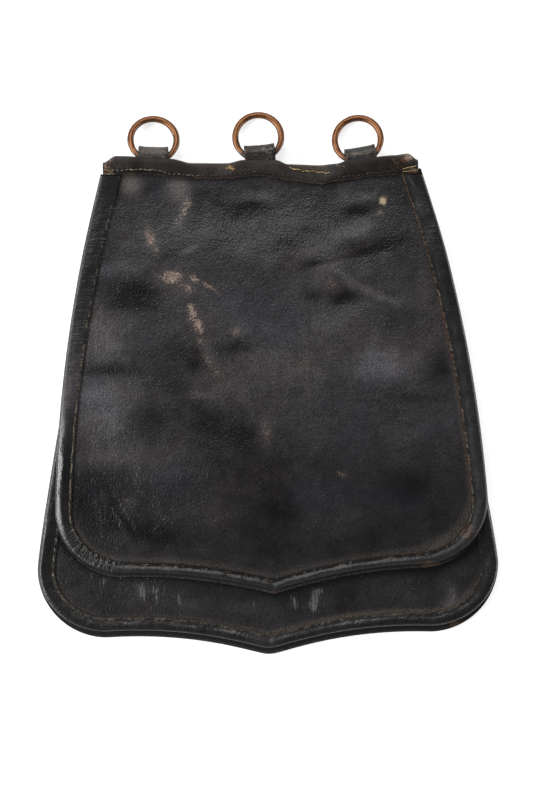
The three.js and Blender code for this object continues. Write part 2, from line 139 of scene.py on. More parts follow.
# Small folds of the flap's panel, placed by where they show in the picture; strengths are heights
FOLDS = table_of(
    Mark,
    (134, 296, 24, 18, 0, 0.9), (118, 270, 26, 9, 4, 0.4), (152, 192, 14, 6, 0, -0.3),
    (130, 190, 9, 9, 0, 0.4), (178, 184, 14, 5, -6, 0.4), (187, 205, 5, 14, -12, 0.3),
    (203, 212, 8, 12, 0, -0.3), (252, 200, 24, 7, 4, 0.4), (251, 219, 13, 9, 0, -0.3),
    (288, 246, 14, 6, 0, -0.3), (360, 203, 20, 6, 8, 0.4), (360, 214, 12, 5, 8, -0.3),
    (312, 236, 9, 9, 0, -0.3), (358, 233, 20, 7, 14, 0.5), (385, 248, 24, 6, 18, -0.3),
    (345, 255, 34, 3, 16, 0.3), (325, 263, 24, 3, 14, -0.3), (348, 282, 14, 4, -45, 0.5),
    (372, 293, 20, 4, -26, 0.5), (343, 302, 14, 7, 0, -0.3), (311, 298, 9, 6, 0, -0.3),
    (193, 250, 9, 2.6, 25, 0.4), (180, 250, 16, 9, 0, -0.2), (103, 322, 16, 12, 0, 0.3),
    (153, 370, 62, 13, -5, 0.9), (397, 392, 68, 12, -3, 0.8), (386, 372, 28, 8, 0, 0.5),
    (394, 430, 26, 4, 26, 0.4), (388, 440, 28, 3, 24, 0.3), (398, 448, 26, 3, 24, 0.25),
    (437, 374, 12, 10, 0, -0.4), (416, 488, 28, 16, 8, -0.4), (94, 494, 12, 14, 0, -0.4),
    (121, 509, 30, 2.2, -60, -0.45), (117, 513, 28, 2.5, -60, 0.25), (268, 400, 16, 40, 0, 0.4),
    (290, 516, 40, 22, 0, -0.4), (352, 520, 22, 10, 10, 0.3), (172, 478, 18, 12, 0, 0.3),
    (215, 425, 24, 20, 0, -0.4), (200, 396, 12, 4, 0, 0.3), (105, 372, 24, 5, -4, -0.3),
)

# Haze of the flap's panel: at heights of the picture, then more or less of it in places.
# Those places are partly haze on the leather and partly painted: the paler ones painted sheen, the darker
# ones painted shade in its dents and folds
HAZE_DOWN = (
    (170, 0.2), (186, 0.15), (200, 0.12), (250, 0.15), (268, 0.24), (330, 0.32),
    (400, 0.29), (450, 0.2), (500, 0.11), (530, 0.1), (550, 0.13), (575, 0.17),
)
SOFT_HAZE, SHADE_GAIN = 0.05, 1.2
HAZE_SHEEN_AND_SHADE = table_of(
    Mark,
    (142, 216, 34, 30, 0, 0.09), (300, 400, 60, 50, 0, 0.03),
    (132, 184, 9, 9, 0, 0.8), (177, 187, 10, 11, 0, 0.7), (150, 190, 12, 6, 0, -0.08),
    (186, 205, 6, 12, -14, 0.3), (178, 222, 6, 8, -14, 0.2), (151, 240, 6, 12, 14, 0.25),
    (192, 250, 12, 4, 25, 0.26), (256, 196, 26, 7, 2, 0.14), (270, 201, 8, 7, 0, 0.2),
    (345, 196, 8, 9, 0, 0.2), (364, 196, 16, 5, 6, 0.2), (357, 231, 20, 9, 10, 0.28),
    (322, 248, 22, 4, 8, 0.14), (328, 270, 18, 10, 30, 0.22), (349, 281, 14, 5, -45, 0.26),
    (368, 291, 14, 4, -28, 0.3), (388, 299, 16, 4, -18, 0.24), (100, 328, 18, 18, 0, 0.2),
    (325, 325, 18, 12, 0, 0.2), (240, 328, 12, 10, 0, 0.14), (374, 342, 6, 14, -20, 0.14),
    (115, 270, 32, 8, 0, 0.16), (425, 285, 8, 18, -10, 0.14), (180, 282, 24, 12, -20, 0.16),
    (384, 362, 30, 15, 0, 0.5), (384, 374, 28, 6, 0, 0.2), (100, 412, 30, 30, 0, 0.34),
    (96, 394, 18, 8, 0, 0.2), (118, 456, 36, 9, 4, 0.22), (108, 347, 18, 9, 0, 0.2),
    (270, 362, 26, 22, 0, 0.16), (310, 372, 22, 16, 0, 0.12), (266, 428, 8, 16, 0, 0.16),
    (200, 396, 14, 4, 0, 0.18), (410, 432, 24, 10, 15, 0.14), (346, 520, 30, 16, 8, 0.1),
    (212, 512, 20, 16, 0, 0.1), (208, 352, 6, 16, 24, 0.2), (165, 470, 22, 12, 0, 0.1),
    (330, 440, 24, 20, 0, 0.06), (300, 300, 30, 30, 0, 0.06),
    (134, 297, 26, 16, 0, -0.42), (254, 217, 22, 15, 0, -0.42), (222, 205, 11, 8, 0, -0.12),
    (359, 213, 11, 5, 8, -0.26), (312, 230, 9, 10, 0, -0.2), (284, 242, 14, 10, 0, -0.2),
    (388, 244, 20, 6, 14, -0.34), (366, 253, 14, 5, 14, -0.2), (316, 263, 18, 4, 16, -0.18),
    (345, 300, 15, 9, 0, -0.36), (312, 296, 9, 6, 0, -0.22), (184, 350, 28, 14, 0, -0.24),
    (236, 346, 20, 8, 6, -0.24), (395, 322, 26, 12, 0, -0.14), (205, 236, 22, 12, 0, -0.08),
    (108, 371, 28, 6, 0, -0.24), (170, 382, 26, 16, -30, -0.2), (195, 364, 10, 10, 0, -0.2),
    (148, 418, 20, 16, 0, -0.16), (200, 414, 20, 14, 0, -0.16), (222, 432, 32, 20, 0, -0.18),
    (245, 436, 10, 12, 0, -0.16), (92, 492, 18, 15, 0, -0.3), (104, 514, 16, 12, 0, -0.14),
    (140, 530, 26, 9, -14, -0.16), (164, 538, 16, 12, 0, -0.14), (282, 506, 24, 22, 0, -0.16),
    (285, 550, 24, 10, 0, -0.06), (412, 486, 26, 17, 10, -0.16), (440, 366, 12, 16, 0, -0.24),
    (405, 396, 44, 6, -4, -0.16), (440, 520, 20, 14, 0, -0.02), (260, 470, 30, 14, 0, -0.08),
)

# Tinted, rubbed, dusty and bare places of the flap's panel
BLUE_PATCHES = table_of(
    Mark,
    (318, 494, 28, 14, 0, 0.8), (172, 478, 22, 14, 0, 0.6), (312, 232, 12, 10, 0, 0.4),
    (230, 300, 40, 30, 0, 0.25), (152, 192, 14, 8, 0, 0.4), (95, 492, 12, 16, 0, 0.3),
    (380, 500, 50, 20, 0, 0.25), (250, 250, 20, 12, 0, 0.3),
)
SCUFFS = table_of(
    Mark,
    (150, 237, 5, 9, 16, 0.75), (156, 250, 3, 7, 14, 0.5), (172, 277, 10, 6, 8, 1.1),
    (181, 283, 8, 3.5, -34, 0.6), (189, 289, 5, 5, 0, 0.7), (195, 279, 6, 3, -32, 0.8),
    (208, 286, 12, 2.4, -30, 0.62), (219, 294, 7, 1.8, -28, 0.45), (192, 313, 5, 9, 10, 0.95),
    (199, 326, 5, 9, 20, 0.8), (200, 343, 3, 9, 14, 0.4), (208, 360, 4, 10, 30, 0.36),
    (216, 372, 6, 6, 0, 0.32), (185, 209, 5, 12, -26, 0.62), (178, 222, 4, 6, -10, 0.5),
    (236, 332, 7, 5, 0, 0.5), (368, 244, 6, 2, 10, 0.32), (362, 258, 7, 2, 5, 0.3),
    (330, 284, 7, 9, 30, 0.32), (240, 398, 3, 5, 0, 0.32), (140, 199, 7, 3, 0, 0.28),
    (136, 308, 2.5, 2.5, 0, 0.45), (267, 432, 4, 11, 0, 0.34), (341, 474, 6, 3, -20, 0.38),
    (380, 292, 4, 2.5, 0, 0.36), (316, 484, 3, 2, 0, 0.36), (128, 500, 5, 3, 0, 0.3),
)
OLIVE_PATCHES = table_of(
    Mark,
    (131, 184, 9, 9, 0, 0.9), (178, 191, 9, 14, 0, 0.9), (380, 212, 5, 6, 0, 0.5),
)
BARE_SPOTS = table_of(Mark, (383, 201, 4.6, 4.6, 0, 0.95), (380, 212, 4, 5, 0, 0.42))
LOW_RIGHT_DUST = table_of(Mark, (446, 536, 36, 26, 40, 1.0))
RED_PATCHES = table_of(
    Mark,
    (267, 430, 9, 14, 0, 0.7), (341, 474, 9, 5, 0, 0.7), (330, 287, 9, 10, 30, 0.5),
    (305, 250, 26, 18, 0, 0.3), (340, 258, 26, 6, 14, 0.4), (200, 330, 12, 30, -10, 0.35),
    (180, 280, 20, 12, 0, 0.35), (270, 480, 40, 20, 0, 0.25),
)

# Marks of the pouch front, the top band, the cut rims and the bindings
POUCH_SCRATCHES = table_of(
    Mark,
    (141, 589, 3, 12, 12, 0.6), (157, 594, 3, 11, 8, 0.5), (150, 592, 12, 9, 0, 0.25),
    (178, 600, 3, 10, 0, 0.4), (92, 574, 4, 9, -4, 0.5), (104, 578, 5, 9, -3, 0.5),
    (293, 602, 6, 12, 4, 0.5), (314, 601, 4, 12, -8, 0.75), (318, 590, 6, 9, 0, 0.4),
    (253, 606, 5, 10, 0, 0.2), (266, 608, 4, 9, 0, 0.15), (220, 604, 30, 8, 0, 0.2),
    (452, 596, 5, 9, 0, 0.35), (345, 600, 10, 6, 0, 0.22), (380, 596, 24, 8, 0, 0.16),
)
POUCH_HAZED = table_of(
    Mark,
    (141, 592, 5, 9, 12, 0.08), (314, 600, 4, 9, -8, 0.06), (452, 597, 5, 9, 0, 0.14),
    (448, 604, 8, 4, 0, 0.1), (250, 608, 40, 7, 0, 0.03), (200, 604, 20, 8, 0, 0.03),
)
BAND_RUBBED = table_of(
    Mark,
    (409, 157, 4.5, 4, 0, 1.1), (109, 174, 6, 1.6, 0, 0.9), (105.5, 166, 1.2, 7, 6, 0.9),
    (111, 160, 7, 1.4, 36, 0.8), (109, 166, 1.2, 6, 10, 0.6), (413, 170, 5, 3, 0, 0.6),
)
BAND_BROWN = table_of(
    Mark,
    (401, 163, 14, 9, 0, 0.55), (116, 167, 10, 7, 0, 0.3),
    (105, 168, 6, 9, 0, 0.8), (111, 161, 4, 4, 0, 0.6), (407, 157, 5, 4, 0, 1.0),
    (316, 168, 32, 7, 0, 0.5), (412, 170, 6, 6, 0, 0.6), (230, 166, 12, 6, 0, 0.45),
    (340, 160, 8, 5, 0, 0.4),
)
RIM_WORN = table_of(
    Mark,
    (428, 564, 14, 6, -10, 0.9), (454, 625, 8, 6, -20, 0.9), (274, 593, 5, 4, 0, 1.0),
    (262, 658, 8, 4, 0, 0.5),
)
FLAP_EDGE_BROWN = table_of(
    Mark,
    (468, 532, 9, 12, -30, 0.62), (428, 561, 14, 5, -10, 0.45), (90, 540, 10, 8, 40, 0.3),
    (424, 256, 5, 10, -10, 0.75),
)
FLAP_EDGE_GREY = table_of(Mark, (66, 388, 16, 44, -8, 0.8))
FLAP_EDGE_CREASED = table_of(Mark, (100, 552, 30, 22, -30, 1.0))
POUCH_EDGE_BROWN = table_of(
    Mark,
    (60, 600, 14, 14, 45, 0.4), (130, 615, 40, 6, -6, 0.45), (420, 610, 40, 6, 8, 0.5),
)
# A painted highlight near the tip of the pouch's binding
POUCH_TIP_HIGHLIGHT = table_of(Mark, (262, 640, 16, 8, 0, 0.3))

# Tufts of loose thread on the band's face, each along a line in the picture; turns vary by radians
BAND_FACE_Z = 12.0
Tuft = namedtuple("Tuft", "x y to_x to_y count spread turn length radius tone")
TUFTS = table_of(
    Tuft,
    (226, 168, 233, 168, 16, 1.2, 0.7, 1.5, 0.22, 0.0), (230, 166, 232, 170, 7, 0.8, 0.9, 1.2, 0.24, 0.4),
    (291, 169, 300, 170, 7, 0.4, 0.2, 1.8, 0.28, 0.75), (303, 171, 314, 171, 6, 0.4, 0.2, 1.5, 0.24, 0.45),
    (318, 172, 328, 173, 7, 0.5, 0.25, 1.7, 0.28, 0.7), (335, 165, 342, 168, 5, 1.0, 0.6, 1.1, 0.2, 0.2),
    (404, 169, 414, 167, 5, 0.2, 0.1, 2.6, 0.22, 0.7), (405, 172, 414, 171, 4, 0.2, 0.1, 2.4, 0.2, 0.4),
    (346, 158, 380, 152, 11, 0.3, 0.15, 1.0, 0.15, 0.1), (106, 171, 113, 173, 6, 0.4, 0.2, 1.6, 0.24, 0.3),
)

# Numbers that start each random pattern, and steps from them to a piece's further patterns
SEEDS = SimpleNamespace(
    waves=11, ripples=23, haze=31, pouch_waves=41, pouch_haze=52, flap_edge=61, pouch_edge=63,
    band_lumps=71, band_cut=75, band_haze=77, band_stitches=81, loose_threads=91,
    flap_binding=101, pouch_binding=131, loops=201, rings=301, next_loop=10,
)
AFTER = SimpleNamespace(tarnish=2, crackle=3, spots=5, lumps=7, scuffs=9, small_lumps=17)

# Numbers and noise
COLUMN_KEY, ROW_KEY = np.uint64(0x9E3779B97F4A7C15), np.uint64(0xC2B2AE3D27D4EB4F)
SEED_KEY, MIX_KEY = np.uint64(0x165667B19E3779F9), np.uint64(0xBF58476D1CE4E5B9)
FIRST_SHIFT, SECOND_SHIFT = np.uint64(29), np.uint64(32)
LOW_BITS, HALF_RANGE = np.uint64(0xFFFFFF), 0x7FFFFF


def lerp(a, b, t):
    return a + (b - a) * t


def clamp(value, low=0.0, high=1.0):
    return np.clip(value, low, high)


def smooth(value, low, high):
    t = clamp((value - low) / (high - low))
    return t * t * (3 - 2 * t)


def bezier(a, b, c, t):
    return (1 - t) ** 2 * a + 2 * t * (1 - t) * b + t**2 * c


def lattice(column, row, seed):
    """A random number from -1 to 1 at each whole column and row, the same in each run."""
    mixed = column.astype(np.uint64) * COLUMN_KEY + row.astype(np.uint64) * ROW_KEY
    mixed = mixed + np.full_like(mixed, seed) * SEED_KEY
    mixed = (mixed ^ (mixed >> FIRST_SHIFT)) * MIX_KEY
    mixed = mixed ^ (mixed >> SECOND_SHIFT)
    return (mixed & LOW_BITS).astype(float) / HALF_RANGE - 1.0


def ease(t):
    """A step from 0 to 1 with no kink in its slope or bend."""
    return t**3 * (t * (t * 6 - 15) + 10)


def noise(x, y, wave, seed):
    u, v = np.asarray(x, float) / wave, np.asarray(y, float) / wave
    column, row = np.floor(u).astype(np.int64), np.floor(v).astype(np.int64)
    a, b = ease(u - column), ease(v - row)
    low = lerp(lattice(column, row, seed), lattice(column + 1, row, seed), a)
    high = lerp(lattice(column, row + 1, seed), lattice(column + 1, row + 1, seed), a)
    return lerp(low, high, b)


def layered(x, y, wave, seed, octaves=3):
    total = np.zeros(np.broadcast(x, y).shape)
    for octave in range(octaves):
        total = total + noise(x, y, wave / 2**octave, seed + octave) / 2**octave
    return total


def picture_place(x, y, z):
    """Where a point of the bag falls in the picture, in pixels."""
    across, up = x - CAMERA_X, y - CAMERA_Y
    right, above = across * ROLL_COS - up * ROLL_SIN, across * ROLL_SIN + up * ROLL_COS
    scale = FOCAL_PX / (CAMERA_HEIGHT - z)
    return PICTURE_WIDTH / 2 + right * scale, PICTURE_HEIGHT / 2 - above * scale


def bag_place(px, py, z):
    """The place of the bag at a height that shows at a place of the picture."""
    scale = FOCAL_PX / (CAMERA_HEIGHT - z)
    right, above = (px - PICTURE_WIDTH / 2) / scale, (PICTURE_HEIGHT / 2 - py) / scale
    return CAMERA_X + right * ROLL_COS + above * ROLL_SIN, CAMERA_Y - right * ROLL_SIN + above * ROLL_COS


def blob(mark, across, up):
    """Strength of a mark at a place across and up from its centre: full there, less further out."""
    turn = math.radians(mark.turn)
    u = across * math.cos(turn) + up * math.sin(turn)
    v = up * math.cos(turn) - across * math.sin(turn)
    return mark.strength * np.exp(-((u / mark.long) ** 2) - (v / mark.wide) ** 2)


def marked(table, px, py):
    """The strongest mark at each place of the picture."""
    value = np.zeros(px.shape)
    for mark in table:
        value = np.maximum(value, blob(mark, px - mark.x, mark.y - py))
    return value


def summed(table, px, py):
    """The sum of the marks at each place of the picture."""
    value = np.zeros(px.shape)
    for mark in table:
        value = value + blob(mark, px - mark.x, mark.y - py)
    return value


# Outlines and heights, as in the solids
def outline(size, side_inset, bottom_inset, top, share):
    """A point on the right half, at a share of the way from the top to the tip."""
    a = TOP_Y - 2 * size.bow_y + size.end_y
    b = 2 * (size.bow_y - TOP_Y)
    c = TOP_Y - top
    start = 2 * c / (-b + np.sqrt(b * b - 4 * a * c))
    t = lerp(start, 1.0, clamp(share / SIDE_SHARE))
    side_x = bezier(TOP_HALF, size.bow_x, size.end_x, t) - side_inset
    side_y = bezier(TOP_Y, size.bow_y, size.end_y, t)
    lobe_x = size.end_x - size.corner
    turn = clamp((share - SIDE_SHARE) / CORNER_SHARE) * math.pi / 2
    corner_x = lobe_x + (size.corner - side_inset) * np.cos(turn)
    corner_y = size.end_y - (size.corner - bottom_inset) * np.sin(turn)
    t = clamp((share - SIDE_SHARE - CORNER_SHARE) / (1 - SIDE_SHARE - CORNER_SHARE))
    bottom_x = bezier(lobe_x, size.bottom_x, 0.0, t)
    bottom_y = bezier(size.end_y - size.corner, size.bottom_y, size.tip, t)
    bottom_y = bottom_y + bottom_inset * bezier(1.0, 1.0, TIP_MITRE, t)
    bottom_y = bottom_y + TIP_SLOPE * (np.hypot(bottom_x, size.soft_tip) - bottom_x)
    on_side, on_corner = share <= SIDE_SHARE, share <= SIDE_SHARE + CORNER_SHARE
    x = np.where(on_side, side_x, np.where(on_corner, corner_x, bottom_x))
    y = np.where(on_side, side_y, np.where(on_corner, corner_y, bottom_y))
    return x, y


def leaned(size, x, y):
    slope = math.sin(math.radians(size.lean))
    depth = TOP_Y - y
    return x + slope * depth, y + slope * x * clamp(depth / LEAN_EASE)


def curl(x, y):
    reach = clamp((y - CURL_FOOT) / (TOP_Y - CURL_FOOT))
    side = x / TOP_HALF
    return reach**2 * (CURL_CENTRE + CURL_ENDS * side**2 - CURL_SKEW * side)


def dome(size, x, y, foot, rise):
    down = clamp((y - size.end_y) / (TOP_Y - size.end_y))
    half = size.end_x - (size.end_x - TOP_HALF) * down**size.taper - SEAM
    return clamp(1 - (x / half) ** 2) ** DOME_POWER * smooth(y, foot, foot + rise)


def hollow(x, y):
    lost = HOLLOW_LOSS * smooth(y, HOLLOW_LOSS_FROM, TOP_Y)
    return HOLLOW * dome(POUCH, x, y, HOLLOW_FOOT, HOLLOW_RISE) * (1 - lost)


def flap_base(x, y):
    settled = FLAP_SETTLE * dome(POUCH, x, y, HOLLOW_FOOT, HOLLOW_RISE)
    return curl(x, y) + lerp(FLAP_Z + hollow(x, y) - settled, BACK + GAP, smooth(y, MOUTH, FLAP_BEND))


def pouch_base(x, y):
    return curl(x, y) + BACK + GAP


def puff(x, y):
    inside = dome(FLAP, x, y, PUFF_FOOT, PUFF_RISE) * (1 - smooth(y, PUFF_TOP, FLAP_BEND))
    rise = PUFF + sum(blob(dent, x - dent.x, y - dent.y) for dent in DENTS)
    return np.maximum(rise * np.sqrt(inside) * np.minimum(1.0, inside * DENT_FADE), -BINDING)


# Making meshes; edges sharper than an angle in degrees are drawn sharp
SHARP, ROUND, ROW_CROWDING = 50.0, 80.0, 1.1


def make_mesh(name, points, faces, attributes, sharp=SHARP):
    mesh = bpy.data.meshes.new(name)
    mesh.from_pydata((np.asarray(points) * MM).tolist(), [], [tuple(face) for face in faces])
    mesh.validate()
    for label, values in attributes.items():
        layer = mesh.attributes.new(label, "FLOAT", "POINT")
        layer.data.foreach_set("value", np.ascontiguousarray(values, dtype=np.float32).ravel())
    mesh.shade_smooth()
    mesh.set_sharp_from_angle(angle=math.radians(sharp))
    return mesh


def place_piece(name, mesh, material, slot, body, *nodes):
    piece = bpy.data.objects.new(name, mesh)
    bpy.context.scene.collection.objects.link(piece)
    mesh.materials.append(material)
    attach(piece, body)
    if nodes:
        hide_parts(*nodes)
    return piece


def grid_faces(rows, columns, start=0, flip=False):
    index = np.arange(rows * columns).reshape(rows, columns) + start
    corners = [index[:-1, :-1], index[1:, :-1], index[1:, 1:], index[:-1, 1:]]
    quads = np.stack(corners, axis=-1).reshape(-1, 4)
    return quads[:, ::-1] if flip else quads


def closed_sheet(upper, lower):
    """Points and faces of a sheet between two grids of points: rows run down, columns to the right."""
    rows, columns = upper.shape[:2]
    count = rows * columns
    index = np.arange(count).reshape(rows, columns)
    rim = np.concatenate([index[0, :-1], index[:-1, -1], index[-1, :0:-1], index[:0:-1, 0]])
    after = np.roll(rim, -1)
    wall = np.stack([rim, after, after + count, rim + count], axis=-1)
    faces = np.concatenate([grid_faces(rows, columns), grid_faces(rows, columns, count, True), wall])
    return np.concatenate([upper.reshape(-1, 3), lower.reshape(-1, 3)]), faces


def panel_grid(size, rims, inset, top, across, down):
    """Own places of a panel's points: rows from the top edge down, columns from left to right."""
    def edge(share):
        return outline(size, size.side_rim * rims + inset, size.bottom_rim * rims + inset, top, share)

    side = np.linspace(-1.0, 1.0, across + 1)[None, :]
    half = np.abs(side)
    row = (np.linspace(0.0, 1.0, down + 1) ** ROW_CROWDING)[:, None]
    right_x, right_y = edge(MID_CORNER * row)
    foot_x, foot_y = edge(1 - (1 - MID_CORNER) * half)
    corner_x, corner_y = edge(np.array(MID_CORNER))
    top_x, top_y = edge(np.array(0.0))
    tip_y = edge(np.array(1.0))[1]
    axis_y = lerp(top_y, tip_y, row)
    x = lerp(half * top_x, foot_x, row) + half * right_x - half * lerp(top_x, corner_x, row)
    y = lerp(top_y, foot_y, row) + lerp(axis_y, right_y, half)
    y = y - lerp(axis_y, lerp(top_y, corner_y, row), half)
    return np.sign(side) * x, y


def as_points(x, y, z):
    return np.stack(np.broadcast_arrays(x, y, z), axis=-1)


# Procedural materials; a node that mixes colours has its share and colours at these sockets
MIX_INPUTS, MIX_OUTPUT, MM_PER_METRE = (0, 6, 7), 2, 1000.0


class Graph:
    """A material's node tree, with short calls to add and join nodes."""

    def __init__(self, name):
        self.material = bpy.data.materials.new(name)
        self.material.use_nodes = True
        self.tree = self.material.node_tree
        self.tree.nodes.clear()
        self.coords = self.add("ShaderNodeTexCoord").outputs["Object"]

    def add(self, kind, settings=None, inputs=None):
        made = self.tree.nodes.new(kind)
        for label, value in (settings or {}).items():
            setattr(made, label, value)
        for label, value in (inputs or {}).items():
            self.put(made.inputs[label], value)
        return made

    def put(self, socket, value):
        if isinstance(value, bpy.types.NodeSocket):
            self.tree.links.new(value, socket)
        else:
            socket.default_value = value

    def math(self, operation, a, b=0.0, clamped=False):
        made = self.add("ShaderNodeMath", {"operation": operation, "use_clamp": clamped})
        self.put(made.inputs[0], a)
        self.put(made.inputs[1], b)
        return made.outputs[0]

    def times(self, a, b, clamped=False):
        return self.math("MULTIPLY", a, b, clamped)

    def plus(self, a, b, clamped=False):
        return self.math("ADD", a, b, clamped)

    def minus(self, a, b, clamped=False):
        return self.math("SUBTRACT", a, b, clamped)

    def mix(self, share, a, b, blend="MIX"):
        made = self.add("ShaderNodeMix", {"data_type": "RGBA", "blend_type": blend})
        for socket, value in zip(MIX_INPUTS, (share, a, b)):
            self.put(made.inputs[socket], value)
        return made.outputs[MIX_OUTPUT]

    def spread(self, value, span, to=(0.0, 1.0)):
        """Takes the values of one span to another, and no further."""
        inputs = {"Value": value, "From Min": span[0], "From Max": span[1], "To Min": to[0], "To Max": to[1]}
        return self.add("ShaderNodeMapRange", {"clamp": True}, inputs).outputs["Result"]

    def spread_grey(self, value, span, to):
        level = self.spread(value, span, to)
        inputs = {"Red": level, "Green": level, "Blue": level}
        return self.add("ShaderNodeCombineColor", None, inputs).outputs["Color"]

    def stretched(self, scale):
        return self.add("ShaderNodeMapping", None, {"Vector": self.coords, "Scale": scale}).outputs["Vector"]

    def noise(self, wave, detail=3.0, roughness=0.55, vector=None):
        inputs = {"Vector": vector or self.coords, "Scale": MM_PER_METRE / wave}
        inputs.update({"Detail": detail, "Roughness": roughness})
        return self.add("ShaderNodeTexNoise", None, inputs).outputs["Fac"]

    def cells(self, size):
        inputs = {"Vector": self.coords, "Scale": MM_PER_METRE / size}
        return self.add("ShaderNodeTexVoronoi", {"feature": "SMOOTH_F1"}, inputs).outputs["Distance"]

    def grains(self, size):
        """A random number in each small cell."""
        inputs = {"Vector": self.coords, "Scale": MM_PER_METRE / size}
        colour = self.add("ShaderNodeTexVoronoi", None, inputs).outputs["Color"]
        return self.add("ShaderNodeSeparateColor", None, {"Color": colour}).outputs["Red"]

    def mark(self, name):
        return self.add("ShaderNodeAttribute", {"attribute_name": name}).outputs["Fac"]

    def bump(self, height, strength, distance_mm, normal=None):
        inputs = {"Height": height, "Strength": strength, "Distance": distance_mm * MM}
        if normal is not None:
            inputs["Normal"] = normal
        return self.add("ShaderNodeBump", None, inputs).outputs["Normal"]

    def finish(self, inputs):
        shader = self.add("ShaderNodeBsdfPrincipled", None, inputs)
        output = self.add("ShaderNodeOutputMaterial")
        self.tree.links.new(shader.outputs["BSDF"], output.inputs["Surface"])
        return self.material


def rgb(red, green, blue):
    return (red, green, blue, 1.0)


# Colours of worn leather
TAN, CREAM, BONE = rgb(0.15, 0.1, 0.077), rgb(0.33, 0.245, 0.19), rgb(0.36, 0.3, 0.19)
BROWN, OLIVE, RED_BROWN = rgb(0.062, 0.033, 0.02), rgb(0.095, 0.08, 0.064), rgb(0.06, 0.032, 0.024)
SLATE, PALE_SCRATCH = rgb(0.021, 0.023, 0.034), rgb(0.12, 0.12, 0.12)
WARM, COLD = rgb(1.08, 1.0, 0.94), rgb(0.98, 0.98, 1.03)

# Sizes of patterns in millimetres, how strongly they and the marks count, and depths of relief
WAVE = SimpleNamespace(
    broad=42.0, middle=8.0, fine=1.1, dust=1.3, wear=3.2, ragged=5.0, rubbed=0.75, pale=0.8, scratch=1.1,
    bare=2.0, pores=1.1, pits=1.4, creases=6.0, ridges=9.0, wrinkle_along=1.9, wrinkle_inward=8.0,
    twist=0.5, blotch=3.5, tarnish=1.6, wire=1.2, paper=400.0,
)
COVER = SimpleNamespace(blue=0.6, red=0.5, scuff=0.92, speckled_haze=0.85, darker=0.4, paler=0.45)
ROUGHER = SimpleNamespace(haze=0.12, middle=0.1, scuff=0.25, polish=0.18)
RELIEF = SimpleNamespace(pores=0.34, creases=0.7, ridges=0.4, wrinkles=2.6, twist=0.2, wire=0.15)
PITS, CREASE_SHARE, RIDGE_SHARE, TWIST_SHARE, WIRE_SHARE = 1.1, 0.5, 0.3, 0.5, 0.12
SCRATCH_STRETCH = (1.0, 0.07, 1.0)

# Spans of a pattern's values that count, each with what they are taken to unless that is 0 to 1
SPAN = SimpleNamespace(
    patchy=((0.28, 0.72), (0.78, 1.22)), speckled=(0.28, 0.72), tinted=(0.36, 0.66), level=(0.3, 0.72),
    reddened=(0.36, 0.64), dusty=(0.36, 0.68), uneven_wear=((0.25, 0.75), (-0.5, 0.5)), worn=(0.42, 0.66),
    ragged=((0.3, 0.7), (0.55, 1.3)), sparse=(-0.2, 0.3), scuffed=(0.06, 0.5), scratched=(0.53, 0.66),
    broken=((0.35, 0.6), (0.4, 1.0)), bare_edge=((0.3, 0.7), (-0.14, 0.14)), bare=(0.24, 0.7),
    ridged=(0.0, 0.06), furrowed=((0.36, 0.6), (0.25, 1.5)), rough=(0.3, 0.7),
    twisted=((0.3, 0.7), (0.6, 1.4)), blotched=(0.3, 0.7), uneven_tarnish=((0.3, 0.7), (-0.3, 0.3)),
    tarnished=(0.35, 0.75), metallic=((0.0, 1.0), (1.0, 0.45)), dull=((0.25, 0.75), (0.3, 0.52)),
)


def leather_ground(graph, dark, haze, speckle, middle, fine):
    """Black leather under a patchy hazing, warmer and colder by areas; in places that hazing carries painted
    sheen, highlights and shade. Gives its colour and how hazed it is.
    """
    patchy = graph.spread(middle, *SPAN.patchy)
    varied = COVER.speckled_haze * speckle
    speckled = graph.spread(fine, SPAN.speckled, (1 - varied, 1 + varied))
    hazed = graph.times(graph.times(graph.mark("haze"), patchy), speckled, True)
    tint = graph.mix(graph.spread(graph.noise(WAVE.broad), SPAN.tinted), WARM, COLD)
    tone = graph.mix(1.0, graph.mix(hazed, dark, haze), tint, "MULTIPLY")
    levels = (1 - COVER.darker * speckle, 1 + COVER.paler * speckle)
    tone = graph.mix(1.0, tone, graph.spread_grey(fine, SPAN.level, levels), "MULTIPLY")
    blued = graph.times(graph.mark("cool"), patchy, True)
    return graph.mix(graph.times(blued, COVER.blue), tone, SLATE), hazed


def leather_stains(graph, tone, middle):
    """Reddened and dusty places, and places worn brown."""
    reddened = graph.times(graph.mark("red"), graph.spread(middle, SPAN.reddened), True)
    tone = graph.mix(graph.times(reddened, COVER.red), tone, RED_BROWN)
    patches = graph.spread(graph.noise(WAVE.dust, detail=4.0, roughness=0.7), SPAN.dusty)
    tone = graph.mix(graph.times(graph.mark("dust"), patches, True), tone, OLIVE)
    uneven = graph.spread(graph.noise(WAVE.wear, detail=5.0, roughness=0.7), *SPAN.uneven_wear)
    return graph.mix(graph.spread(graph.plus(graph.mark("wear"), uneven), SPAN.worn), tone, BROWN)


def leather_scuffs(graph, tone):
    """Places rubbed to pale grains. Gives the colour and how much is rubbed."""
    ragged = graph.spread(graph.noise(WAVE.ragged, detail=4.0, roughness=0.65), *SPAN.ragged)
    rubbed = graph.times(graph.mark("scuff"), ragged)
    sparse = graph.spread(graph.minus(rubbed, graph.grains(WAVE.rubbed)), SPAN.sparse)
    scuffed = graph.times(sparse, graph.spread(rubbed, SPAN.scuffed))
    pale = graph.mix(graph.grains(WAVE.pale), TAN, CREAM)
    return graph.mix(graph.times(scuffed, COVER.scuff), tone, pale), scuffed


